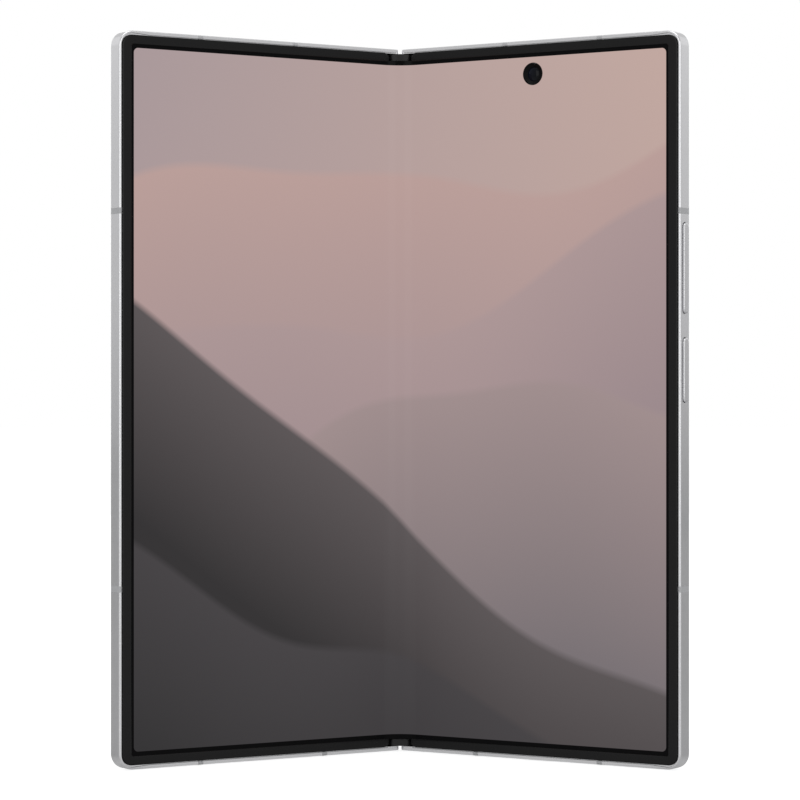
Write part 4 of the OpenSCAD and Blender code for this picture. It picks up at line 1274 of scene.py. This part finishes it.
@dataclass
class Screen:
    """The folding screen in two pieces that meet over the hinge, and the bezels round it."""

    bend_r: float = 7.0
    blend_reach: float = 5.0
    end_x: float = 69.4
    low_z: float = 1.8
    fold_z: float = 2.72
    widen: tuple[float, float] = (3.9, 4.3)
    near_t: float = 14.0
    corner_r: float = 1.0
    arc_steps: int = 28
    punch: tuple[float, float] = (35.15, 150.95)
    punch_r: float = 2.4
    bezel_start: float = 3.8
    bezel_out: tuple[float, float] = (70.93, 0.93)
    bezel_in: tuple[float, float] = (68.7, 2.85)
    bezel_corner_r: tuple[float, float] = (2.3, 0.7)
    bezel_h: float = 0.2
    bezel_end_r: float = 0.95

    def bent(self, t: np.ndarray, depth: np.ndarray, z: np.ndarray, side: int) -> np.ndarray:
        """Bends the flat screen into its half-open form.

        Up to the bend's end a point lies on a circle of bend_r + depth about a line in front
        of the fold, turned by t / bend_r; beyond it the point lies on its half's plane.

        Args:
            t: Distance from the fold along the face.
            depth: Distance behind the face.
            z: Height.
            side: 1 for the right half and -1 for the left.

        Returns:
            Points in metres.
        """
        p = PHONE
        cos, sin = math.cos(p.angle), math.sin(p.angle)
        bend_end = self.bend_r * p.angle
        vertex_y = p.axis_y - (p.vertex_x - p.axis_x) * sin - p.axis_y * cos
        centre_y = vertex_y - self.bend_r / cos
        turn = np.minimum(t / self.bend_r, p.angle)
        radius = self.bend_r + depth
        arc = np.stack((radius * np.sin(turn), centre_y + radius * np.cos(turn), z), -1)
        x = p.vertex_x + self.bend_r * math.tan(p.angle) + t - bend_end
        flat = p.place(np.stack((x, depth, z), -1), Where.RIGHT)
        points = np.where((t > bend_end)[..., None], flat, p.place(arc, Where.HINGE))
        return points * np.array((side, 1, 1))

    @property
    def flat_gain(self) -> float:
        """How much longer the flat face is than the bent one, up to the bend's end."""
        return PHONE.vertex_x + self.bend_r * (math.tan(PHONE.angle) - PHONE.angle)

    def panel(self, where: Where) -> bpy.types.Object:
        """One half of the screen as a slab on a grid, with round outer corners.

        Over the hinge the slab ends at fold_z, and under the bezels it reaches out to low_z.
        The ends' height rises by corner_r - sqrt(corner_r^2 - over^2) over the last
        millimetre, where over is the distance into it.

        Args:
            where: The half.

        Returns:
            The screen piece.
        """
        bend_end = self.bend_r * PHONE.angle
        last = self.end_x - self.flat_gain
        corner = last - self.corner_r
        round_t = corner + self.corner_r * np.sin(np.linspace(0, math.pi / 2, 9))
        t = np.unique(np.concatenate((
            np.linspace(0, bend_end, self.arc_steps), np.linspace(bend_end, self.near_t, 14),
            np.linspace(*self.widen, 3), np.linspace(self.near_t, last - 1, 12), round_t)))
        over = np.clip(t - corner, 0, self.corner_r)
        rise = self.corner_r - np.sqrt(np.maximum(self.corner_r ** 2 - over ** 2, 0))
        step = np.clip((t - self.widen[0]) / (self.widen[1] - self.widen[0]), 0, 1)
        low = self.fold_z + (self.low_z - self.fold_z) * step + rise
        front_z = low[:, None] + (PHONE.body_h - 2 * low)[:, None] * np.linspace(0, 1, 25)
        z = np.concatenate((front_z, front_z[:, ::-1]), 1)
        depth = np.repeat((0.0, PHONE.panel_t), front_z.shape[1])
        along, depth = np.broadcast_arrays(t[:, None], depth, z)[:2]
        shape = Shape().grid(self.bent(along, depth, z, where.value), wrap=True, cap=True)
        hole = turned([self.punch], [(self.punch_r, -1.0), (self.punch_r, 2.0)])
        obj = shape.build(f"{where.tag}_screen", where, SCREEN, "screen",
                          f"{where.tag}_display_panel", "display_bend",
                          cut=hole if where is Where.RIGHT else None, placed=True, ride=False)
        self.unwrap(obj, where.value)
        return obj

    def unwrap(self, obj: bpy.types.Object, side: int) -> None:
        """Gives the screen its own coordinates: the place on the flat, open phone, 0 to 1.

        Args:
            obj: The screen piece, still in place.
            side: 1 for the right half and -1 for the left.
        """
        mesh = obj.data
        points = np.empty(len(mesh.vertices) * 3)
        mesh.vertices.foreach_get("co", points)
        x, y, z = points.reshape(-1, 3).T / MM
        p = PHONE
        x = np.abs(x)
        dx, dy = x - p.axis_x, y - p.origin_y - p.axis_y
        flat_x = p.axis_x + dx * math.cos(p.angle) - dy * math.sin(p.angle)
        bend_end = self.flat_gain + self.bend_r * p.angle
        on_arc = x / (self.bend_r * math.sin(p.angle))
        flat_x = np.where(flat_x < bend_end, on_arc * bend_end, flat_x)
        uv = np.stack((0.5 + side * flat_x / (2 * p.half_w), z / p.body_h), -1)
        corner = np.empty(len(mesh.loops), np.int32)
        mesh.loops.foreach_get("vertex_index", corner)
        layer = mesh.uv_layers.new(name="screen")
        layer.data.foreach_set("uv", uv[corner].ravel())

    def bezel(self, where: Where) -> None:
        """Raised strip round three sides of one half, with round edges.

        The section is carried along from the strip's top end to its bottom end; a point of
        it lies at a distance from the outer line or from the inner one. At the ends the outer
        line is round: x = r (1 - cos a), z = r (1 - sin a).

        Args:
            where: The half.
        """
        high, start, steps = PHONE.body_h, self.bezel_start, 10
        turn = np.linspace(0, math.pi / 2, 6)
        run = start + self.bezel_end_r * (1 - np.cos(turn))
        lines = []
        for (x, z), radius, rise in zip((self.bezel_out, self.bezel_in), self.bezel_corner_r,
                                        (self.bezel_end_r, 0.0)):
            loop = box_outline((start, z), (x, high - z), (0.01, radius, radius, 0.01), steps)
            corners = loop[steps + 1:3 * (steps + 1)]
            end = np.stack((run, z + rise * (1 - np.sin(turn))), -1)
            lines.append(np.concatenate((end, corners, (end * (1, -1) + (0, high))[::-1])))
        outer, inner = lines
        width = np.linalg.norm(inner - outer, axis=1)[:, None]
        across = (inner - outer) / width
        edge = [(0.0, 0.0), (0.0, -0.07), (0.05, -0.125), (0.14, -0.165), (0.26, -0.188),
                (0.4, -self.bezel_h)]
        u = np.concatenate([np.full_like(width, d) for d, _ in edge]
                           + [width - d for d, _ in edge[::-1]], 1)
        y = np.array([depth for _, depth in edge + edge[::-1]])
        points = outer[:, None, :] + u[..., None] * across[:, None, :]
        grid = np.stack((points[..., 0], np.broadcast_to(y, u.shape), points[..., 1]), -1)
        Shape().grid(grid, wrap=True, cap=True).build(
            f"{where.tag}_bezel_strip", where, BEZEL, "bezel_plastic", f"{where.tag}_bezel",
            even=True)

    def camera(self) -> None:
        """Camera behind the hole in the screen: black well, ring and lens."""
        well = [(2.34, 0.06), (2.34, 0.9), (1.5, 0.9), (1.5, 0.55), (1.62, 0.42), (2.2, 0.12),
                (2.26, 0.06)]
        Shape().lathe(self.punch, well, closed=True).build(
            "front_camera_well", Where.RIGHT, WELL, "lens_glass", "front_camera")
        dome = [(1.5, 0.8), (1.5, 0.56), (1.35, 0.47), (1.05, 0.37), (0.7, 0.3), (0.35, 0.265),
                (0.02, 0.255)]
        Shape().lathe(self.punch, dome, 48).build(
            "front_camera_lens", Where.RIGHT, SMALL_LENS, "lens_glass")

    def build(self) -> None:
        """Makes the two screen pieces, which meet over the hinge, the bezels and the camera."""
        for where in (Where.RIGHT, Where.LEFT):
            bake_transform(self.panel(where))
            self.bezel(where)
        self.camera()


# ---------------------------------------------------------------- hinge


@dataclass
class Spine:
    """What shows of the hinge: the caps at the spine's ends."""

    end_z: float = 1.06
    cap_l: float = 1.64
    nose_x: float = 2.42
    nose_y: float = 0.55
    nose_h: float = 0.75
    floor_x: float = 3.6
    floor_y: float = 1.0
    cover_in_r: float = 2.0
    cover_r: float = 2.33
    edge_r: float = 0.12

    def cap_outline(self) -> np.ndarray:
        """Section of an end cap: a stadium behind, and a round nose in front.

        The back is two arcs of cover_in_r about the hinge axes; the sides step out to
        cover_r in front of the axes; beside the nose the front falls back. The nose is
        half an ellipse: x = nose_x cos a, y = nose_y - nose_h sin a.

        Returns:
            The closed loop, anticlockwise.
        """
        back = PHONE.about_axis(self.cover_in_r, np.linspace(0, math.pi / 2, 14))
        side = [(x, y - 0.05) for x, y in PHONE.about_axis(self.cover_r, np.linspace(0, -0.12, 3))]
        nose = [(self.nose_x * math.cos(a), self.nose_y - self.nose_h * math.sin(a))
                for a in np.linspace(0, 1.45, 12)]
        front = [*side, (self.floor_x, self.floor_y), (self.nose_x + 0.06, self.floor_y), *nose]
        left = [(-x, y) for x, y in back[::-1] + front]
        return np.array(back + left + front[::-1])

    def build(self) -> None:
        """Makes the two caps."""
        shape = Shape()
        loop = self.cap_outline()
        top = PHONE.body_h - self.end_z
        for low, high in ((self.end_z, self.end_z + self.cap_l), (top - self.cap_l, top)):
            shape.stack(loop, Plane.XY, rounded_levels(low, high, self.edge_r, self.edge_r, 3))
        shape.build("spine_end_caps", Where.HINGE, CAP, "black_plastic", "hinge_end_caps",
                    even=True)


@dataclass
class Flex:
    """Ribbon cable across the hinge, in two pieces that meet behind the fold."""

    on_hinge: tuple[tuple[float, float], ...] = ((-1.6, 2.75), (0.0, 2.9), (1.6, 2.75), (2.5, 2.0))
    on_half: tuple[tuple[float, float], ...] = (
        (3.55, 1.2), (4.95, 1.35), (6.9, 1.35), (7.95, 1.35))
    width: float = 9.0
    thick: float = 0.12
    steps: int = 9

    def line(self) -> np.ndarray:
        """Smooth line through the places that the ribbon passes.

        Between two places it is the Catmull-Rom cubic of the four nearest, at equal steps
        of its parameter u: half of 2b + (c - a) u + (2a - 5b + 4c - d) u^2
        + (3b - a - 3c + d) u^3.

        Returns:
            Points from the fold outward, in metres, at height 0.
        """
        hinge, half = (np.array([(x, y, 0.0) for x, y in places])
                       for places in (self.on_hinge, self.on_half))
        knots = np.concatenate((PHONE.place(hinge, Where.HINGE), PHONE.place(half, Where.RIGHT)))
        a, b, c, d = (knots[i:len(knots) - 3 + i, None] for i in range(4))
        u = np.linspace(0, 1, self.steps, endpoint=False)[None, :, None]
        curve = (2 * b + (c - a) * u + (2 * a - 5 * b + 4 * c - d) * u ** 2
                 + (3 * b - a - 3 * c + d) * u ** 3) / 2
        return np.concatenate((curve.reshape(-1, 3), knots[-2:-1]))

    def build(self) -> None:
        """Makes both pieces, each running from the hinge onto its half."""
        line = self.line()
        along = np.gradient(line, axis=0)
        normal = np.stack((-along[:, 1], along[:, 0], along[:, 2]), -1)
        normal *= self.thick * MM / 2 / np.linalg.norm(normal, axis=1, keepdims=True)
        z = (PHONE.body_h + self.width * np.linspace(-1, 1, 13)) / 2 * MM
        sheets = [np.broadcast_to(face[:, None], (len(line), len(z), 3)).copy()
                  for face in (line + normal, line - normal)]
        for sheet in sheets:
            sheet[..., 2] = z
        grid = np.concatenate((sheets[0], sheets[1][:, ::-1]), 1)
        for where in (Where.RIGHT, Where.LEFT):
            flip = np.array((where.value, 1, 1))
            shape = Shape().grid(grid * flip, wrap=True, cap=True)
            obj = shape.build(f"{where.tag}_ribbon", where, FLEX, "flex_film", "hinge_flex",
                              placed=True, ride=False)
            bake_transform(obj)


# ---------------------------------------------------------------- keys, port and tray


@dataclass
class Keys:
    """Volume key and side key, crowned a little along their edges."""

    openings: Openings
    inner_x: float = 70.0
    flange_t: float = 0.5
    flange_out: float = 0.8
    flange_w: float = 2.6
    out: float = 0.45

    def key(self, z: float, length: float) -> Shape:
        """A slot-shaped cap on its flange.

        Args:
            z: Height of its middle.
            length: Length of the cap.

        Returns:
            The shape.
        """
        p, face_x = PHONE, self.inner_x + self.flange_t
        loop = slot_outline((z, p.mid_y), length, self.openings.key_w)
        shape = Shape().stack(loop, Plane.ZY,
                              rounded_levels(face_x, p.half_w + self.out, 0.0, 0.2, 5))
        long, wide = length / 2 + self.flange_out, self.flange_w / 2
        plate = box_outline((z - long, p.mid_y - wide), (z + long, p.mid_y + wide), (0.2,) * 4, 3)
        return shape.stack(plate, Plane.ZY, [(0, self.inner_x), (0, face_x)])

    def build(self) -> None:
        """Makes both keys."""
        for name, place in (("volume_key", self.openings.volume), ("side_key", self.openings.side)):
            self.key(*place).build(f"{name}_cap", Where.RIGHT, KEY_METAL, "key_metal", name,
                                   body=name, even=True)


@dataclass
class Port:
    """Charging port: rolled shell with a flared mouth, and the tongue with its contacts."""

    x: float = 35.8
    depth: float = 7.2
    outer: tuple[float, float] = (8.7, 2.86)
    wall: float = 0.16
    tongue: tuple[float, float] = (6.7, 0.7)
    contacts: int = 12
    pitch: float = 0.5
    contact_w: float = 0.24

    def build(self) -> None:
        """Makes the shell, the tongue and the contacts."""
        y = PHONE.mid_y
        out = slot_outline((self.x, y), *self.outer)
        inner = inset(out, self.wall)
        rows = [(out, self.depth + 0.1), (out, 0.16), (inset(out, 0.05), 0.1),
                (inset(inner, -0.05), 0.1), (inner, 0.3), (inner, self.depth - 0.2)]
        grid = np.stack([np.column_stack((loop, np.full(len(loop), z))) for loop, z in rows])
        Shape().grid(grid, wrap=True, cap=True).build(
            "port_shell", Where.RIGHT, BRIGHT_STEEL, "connector_steel", "usb_shell")
        wide, thick = self.tongue[0] / 2, self.tongue[1] / 2
        blade = box_outline((self.x - wide, y - thick), (self.x + wide, y + thick), (0.12,) * 4, 3)
        Shape().stack(blade, Plane.XY, rounded_levels(0.9, self.depth - 0.2, 0.15, 0.0, 3)).build(
            "port_tongue", Where.RIGHT, BLACK, "black_plastic", "usb_tongue")
        pads, half_w = Shape(), self.contact_w / 2
        for i in range(self.contacts):
            x = self.x + (i - (self.contacts - 1) / 2) * self.pitch
            for way in (-1, 1):
                low, high = sorted((y + way * 0.34, y + way * 0.375))
                pad = box_outline((x - half_w, low), (x + half_w, high), (0.01,) * 4, 1)
                pads.stack(pad, Plane.XY, [(0, 1.3), (0, 4.2)])
        pads.build("port_contacts", Where.RIGHT, GOLD, "switch_metal")


@dataclass
class Tray:
    """Card tray: face plate with its release hole, and the frame that holds the card."""

    x: float = 30.0
    face: tuple[float, float] = (14.5, 2.0)
    body: tuple[float, float] = (12.4, 0.8)
    low_z: float = 0.08
    seat_z: float = 0.75
    length: float = 15.5
    pin_r: float = 0.4

    def build(self) -> None:
        """Makes the tray, with the card's recess and the release hole cut in it."""
        y = PHONE.mid_y
        shape = Shape().stack(slot_outline((self.x, y), *self.face), Plane.XY,
                              rounded_levels(self.low_z, self.seat_z, 0.1, 0.0, 3))
        low = (self.x - self.body[0] / 2, y - self.body[1] / 2)
        high = (self.x + self.body[0] / 2, y + self.body[1] / 2)
        shape.stack(box_outline(low, high, (0.1,) * 4, 3), Plane.XY,
                    rounded_levels(self.seat_z, self.seat_z + self.length, 0.0, 0.1, 2))
        card = box_outline((low[0] + 1, 3.1), (high[0] - 1, self.length - 0.8), (0.6,) * 4, 5)
        pin = disc_outline((high[0] - 1.6, y), self.pin_r, 24)
        cut = Shape().stack(card, Plane.XZ, [(0, y - 2), (0, y + 0.15)])
        cut.stack(pin, Plane.XY, [(0, -1.0), (0, 0.6)])
        shape.build("card_tray", Where.LEFT, KEY_METAL, "key_metal", "sim_tray", body="sim_tray",
                    cut=cut, even=True)


# ---------------------------------------------------------------- back and cameras


@dataclass
class Back:
    """Back glass, cover glass and the rear cameras on their island."""

    start_x: float = 5.35
    edge: float = 0.85
    island_c: tuple[float, float] = (57.45, 124.2)
    island: tuple[float, float] = (54.0, 19.5)
    island_t: float = 0.9
    lens_pitch: float = 17.0
    ring_r: float = 7.0
    ring_wall: float = 0.95
    ring_out: float = 0.6
    flash_r: float = 1.9
    flash_gap: float = 2.2
    hole_gap: float = 0.05
    cover_camera: tuple[float, float] = (38.0, 150.9)
    cover_hole_r: float = 1.75

    @property
    def lens_centres(self) -> list[tuple[float, float]]:
        """Where the three lenses stand, in x and z."""
        return [(self.island_c[0], self.island_c[1] + i * self.lens_pitch) for i in (-1, 0, 1)]

    @property
    def flash_c(self) -> tuple[float, float]:
        """Centre of the flash window."""
        x = self.island_c[0] - self.island[1] / 2 - self.flash_r - self.flash_gap
        return (x, self.island_c[1] + self.lens_pitch)

    def pane(self) -> Shape:
        """A pane with round edges and corners.

        Returns:
            The shape.
        """
        p = PHONE
        loop = box_outline((self.start_x, self.edge), (p.half_w - self.edge, p.body_h - self.edge),
                           (0.45, 2.45, 2.45, 0.45), 12)
        return Shape().stack(loop, Plane.XZ, rounded_levels(p.glass_y, p.half_t, 0.05, 0.22, 5))

    def bores(self, centres: Iterable[Sequence[float]], radius: float, sides: int = 64) -> Shape:
        """Cutter for round holes through the glass."""
        return turned(centres, [(radius, PHONE.glass_y - 1), (radius, PHONE.half_t + 1)], sides)

    def glass(self) -> None:
        """Makes the two panes, with the holes that the cameras and the flash need."""
        holes = joined((self.bores(self.lens_centres, self.ring_r + self.hole_gap),
                        self.bores([self.flash_c], self.flash_r + self.hole_gap, 48)))
        self.pane().build("frosted_pane", Where.RIGHT, FROSTED, "back_glass", "back_glass",
                          cut=holes, even=True)
        hole = self.bores([self.cover_camera], self.cover_hole_r, 48)
        self.pane().build("cover_pane", Where.LEFT, DARK_GLASS, "dark_glass", "cover_glass",
                          cut=hole, even=True)
        lens = [(1.72, -0.5), (1.72, -0.04), (1.68, -0.02), (1.15, -0.02), (1.05, -0.12),
                (1.0, -0.25), (0.8, -0.17), (0.5, -0.11), (0.02, -0.08)]
        Shape().lathe(self.cover_camera, [(r, PHONE.half_t + y) for r, y in lens], 48).build(
            "cover_camera_lens", Where.LEFT, LENS, "lens_glass")

    def cameras(self) -> None:
        """Makes the island, the rings, the stepped lens wells, the lenses and the flash."""
        p = PHONE
        top = p.half_t + self.island_t
        loop = slot_outline(self.island_c, *self.island, upright=True, steps=24)
        wells = turned(self.lens_centres,
                       [(self.ring_r - 0.02, p.half_t - 1), (self.ring_r - 0.02, top + 1)], 96)
        Shape().stack(loop, Plane.XZ, rounded_levels(p.half_t, top, 0.0, 0.3, 6)).build(
            "camera_plate", Where.RIGHT, ISLAND_METAL, "island_metal", "camera_island",
            cut=wells, even=True)
        self.rings(top)
        self.lenses(top)
        self.flash()

    def rings(self, top: float) -> None:
        """Turned rings with a round outer edge, a flat land and a conical inner wall.

        Args:
            top: Height of the island's face.
        """
        r, base, out = self.ring_r, PHONE.glass_y, top + self.ring_out
        inner = r - self.ring_wall
        profile = [(r, base), (r, out - 0.22), (r - 0.03, out - 0.12), (r - 0.1, out - 0.04),
                   (r - 0.2, out), (inner + 0.28, out), (inner + 0.18, out - 0.04),
                   (inner + 0.12, out - 0.14), (inner, top + 0.3), (inner, base)]
        turned(self.lens_centres, profile, 96, closed=True).build(
            "camera_ring_set", Where.RIGHT, RING_METAL, "ring_metal", "camera_rings")

    def lenses(self, top: float) -> None:
        """Black window, stepped barrel and domed front element of each camera.

        Heights are counted from the window's face. The dome is a part of an ellipsoid:
        radius 1.95 sin a and height 0.5 cos a, with a from a right angle to nearly 0.

        Args:
            top: Height of the island's face.
        """
        edge = self.ring_r - self.ring_wall - 0.05
        window = [(edge, -0.6), (edge, -0.06), (edge - 0.06, 0.0), (4.3, 0.0), (4.18, -0.1),
                  (4.18, -0.6)]
        barrel = [(4.16, -0.7), (4.16, -0.3), (3.65, -0.3), (3.6, -0.34), (3.5, -0.56),
                  (3.1, -0.56), (3.05, -0.6), (2.95, -0.8), (2.55, -0.8), (2.5, -0.84),
                  (2.42, -1.0), (2.0, -1.0), (2.0, -1.14), (0.02, -1.14)]
        dome = [(1.95, -1.12)] + [(1.95 * math.sin(a), 0.5 * math.cos(a) - 1.08)
                                  for a in np.linspace(math.pi / 2, 0.005, 10)]
        face = top + 0.3
        windows, barrels, domes = (
            turned(self.lens_centres, [(r, face + y) for r, y in profile], sides, closed)
            for profile, sides, closed in ((window, 96, True), (barrel, 96, False),
                                           (dome, 64, False)))
        windows.build("lens_windows", Where.RIGHT, WINDOW, "lens_glass", "camera_lenses")
        barrels.build("lens_barrels", Where.RIGHT, WELL, "lens_glass", smooth=STEPPED_ANGLE)
        domes.build("lens_domes", Where.RIGHT, LENS, "lens_glass")

    def flash(self) -> None:
        """Flash window with ring-shaped ridges, like a stepped lens."""
        top = PHONE.half_t + 0.04
        r = self.flash_r
        profile = [(r, PHONE.glass_y - 0.2), (r, top - 0.04), (r - 0.05, top), (r - 0.3, top)]
        for i in range(6):
            out = r - 0.34 - i * 0.22
            profile += [(out, top - 0.09), (out - 0.16, top - 0.01)]
        profile.append((0.02, top - 0.03))
        Shape().lathe(self.flash_c, profile, 48).build(
            "flash_window", Where.RIGHT, FLASH, "flash", "flash_lens", smooth=STEPPED_ANGLE)


# ---------------------------------------------------------------- carried-over nodes


@dataclass
class Inside:
    """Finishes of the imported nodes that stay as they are."""

    frame: dict
    finishes: tuple[tuple[Finish, str], ...] = (
        (DARK_GLASS, "cover_display"),
        (DARK_MOULD, "camera_modules bottom_speaker top_speaker"),
        (BLACK, "cover_camera"),
        (GREEN_BOARD, "mainboard lower_board cover_board"),
        (CELL, "right_battery left_battery"),
        (COPPER, "charging_coil"),
        (SHEET, "shield_cans sim_reader right_support_plate left_support_plate"),
        (STEEL, "vibration_motor hinge_brackets right_hinge_arms left_hinge_arms"),
        (BRIGHT_STEEL, "right_magnets left_magnets hinge_pins idler_pins torque_springs"),
        (DARK_STEEL, "cam_followers right_arm_screws left_arm_screws"),
        (BRASS, "key_switches right_idler_gears left_idler_gears"),
    )

    def dress(self) -> None:
        """Puts a finish on every node, those that a piece stands for among them."""
        worn = {name: finish for finish, names in self.finishes for name in names.split()}
        for name, obj in self.frame["nodes"].items():
            material = worn.get(name, FRAME_METAL).material()
            for slot in obj.material_slots:
                slot.material = material
            LOG.info("%s: %s", name, material.name)


# ---------------------------------------------------------------- studio


@dataclass
class Studio:
    """Floor, lamps, world and camera."""

    camera_y: float = -0.6747
    camera_z: float = 0.0792
    lens: float = 137.7
    aim: tuple[float, float, float] = (0.0, 0.0, 0.08)
    floor_r: float = 8.0
    floor_z: float = -0.0002
    floor_tones: tuple[float, float] = (0.43, 0.47)
    floor_seen: float = 0.8
    world_seen: float = 1.0
    world_mirrored: float = 0.74
    world_light: float = 0.5

    def seen(self, tree: bpy.types.NodeTree, camera: float, glossy: object,
             other: float) -> bpy.types.NodeSocket:
        """Strength of a glow that the camera, reflections and soft light see differently.

        Args:
            tree: The node tree that gets the nodes.
            camera: Strength for the camera and through glass.
            glossy: Strength in reflections, as a value or a socket.
            other: Strength as a light.

        Returns:
            The socket of the strength.
        """
        path = tree.nodes.new("ShaderNodeLightPath")
        value = other
        for ray, strength in (("Is Glossy Ray", glossy), ("Is Transmission Ray", camera),
                              ("Is Camera Ray", camera)):
            pick = tree.nodes.new("ShaderNodeMix")
            for number, source in ((0, path.outputs[ray]), (2, value), (3, strength)):
                feed(tree, pick.inputs[number], source)
            value = pick.outputs[0]
        return value

    def mirrored(self, graph: Graph) -> bpy.types.NodeSocket:
        """Strength of the floor in reflections: bright in front of the phone, dim beside it.

        The place is the lesser of |x| - 0.056 and y + 0.03, in metres.

        Args:
            graph: The floor's graph.

        Returns:
            The socket of the strength.
        """
        place = graph.node("SeparateXYZ", {0: graph.coords()})
        beside = graph.math("SUBTRACT", graph.math("ABSOLUTE", place.outputs[0]), 0.056)
        behind = graph.math("ADD", place.outputs[1], 0.03)
        return graph.node("MapRange", {"Value": graph.math("MINIMUM", beside, behind),
                                       "From Min": -0.01, "From Max": 0.02,
                                       "To Min": 0.45, "To Max": 0.08}).outputs[0]

    def floor(self) -> None:
        """White floor that keeps the phone's shadow."""
        reach = np.linspace(-self.floor_r, self.floor_r, 5)
        x, y = np.meshgrid(reach, reach)
        shape = Shape().grid(np.stack((x, y, np.full_like(x, self.floor_z)), -1))
        obj = mesh_object("floor", np.concatenate(shape.points), shape.faces, SMOOTH_ANGLE)
        graph = Graph("white_floor")
        tones = [(tone,) * 3 for tone in self.floor_tones]
        graph.set(Base_Color=graph.mix(graph.noise(3.0, 2.0), *tones), Roughness=0.9,
                  Specular_IOR_Level=0.0, Emission_Color=(1.0, 1.0, 1.0),
                  Emission_Strength=self.seen(graph.tree, self.floor_seen,
                                              self.mirrored(graph), 0.0))
        obj.data.materials.append(graph.material)

    def world(self) -> None:
        """World that the camera sees white, and that lights softly."""
        world = bpy.data.worlds.new("studio")
        bpy.context.scene.world = world
        world.use_nodes = True
        tree = world.node_tree
        back = tree.nodes["Background"]
        strength = self.seen(tree, self.world_seen, self.world_mirrored, self.world_light)
        feed(tree, back.inputs["Strength"], strength)
        feed(tree, back.inputs["Color"], (1.0, 1.0, 1.0))

    def lamp(self, name: str, place: Sequence[float], size: Sequence[float], glow: float) -> None:
        """Soft lamp aimed at the middle of the phone.

        Args:
            name: Name of the lamp.
            place: Where it stands, in metres.
            size: Its width and height.
            glow: Brightness of its face; its power is pi * width * height * glow.
        """
        data = bpy.data.lights.new(name, "AREA")
        data.shape = "RECTANGLE"
        data.size, data.size_y = size
        data.energy = math.pi * size[0] * size[1] * glow
        obj = linked(name, data)
        obj.location = place
        aim = Vector(self.aim) - Vector(place)
        obj.rotation_euler = aim.to_track_quat("-Z", "Y").to_euler()

    def camera(self) -> None:
        """Camera level with the phone's middle, at the photograph's distance and angle."""
        data = bpy.data.cameras.new("camera")
        data.lens = self.lens
        data.sensor_width = 36.0
        data.clip_start = 0.01
        obj = linked("camera", data)
        obj.location = (0.0, self.camera_y, self.camera_z)
        obj.rotation_euler = (math.pi / 2, 0.0, 0.0)
        bpy.context.scene.camera = obj

    def build(self) -> None:
        """Sets the stage."""
        self.floor()
        self.world()
        self.lamp("top_lamp", (0.0, -0.2, 1.3), (1.2, 0.9), 1.6)
        for side, word in ((-1, "left"), (1, "right")):
            self.lamp(f"{word}_front_lamp", (side * 0.62, -1.05, 0.3), (0.6, 0.95), 1.25)
            self.lamp(f"{word}_side_lamp", (side * 1.05, 0.6, 0.7), (0.9, 0.9), 0.24)
            self.lamp(f"{word}_back_lamp", (side * 0.55, 1.25, 0.28), (0.9, 0.5), 1.3)
        self.camera()
        bpy.context.scene.view_settings.view_transform = "Standard"


def main() -> None:
    """Builds the phone's pieces in order, then the stage."""
    logging.basicConfig(level=logging.INFO, format="%(message)s")
    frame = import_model()
    Inside(frame).dress()
    openings = Openings()
    FrameHalf(Where.RIGHT).build(openings.right())
    FrameHalf(Where.LEFT).build(openings.left())
    Screen().build()
    Spine().build()
    Flex().build()
    Keys(openings).build()
    Port().build()
    Tray().build()
    back = Back()
    back.glass()
    back.cameras()
    Studio().build()


if __name__ == "__main__":
    main()
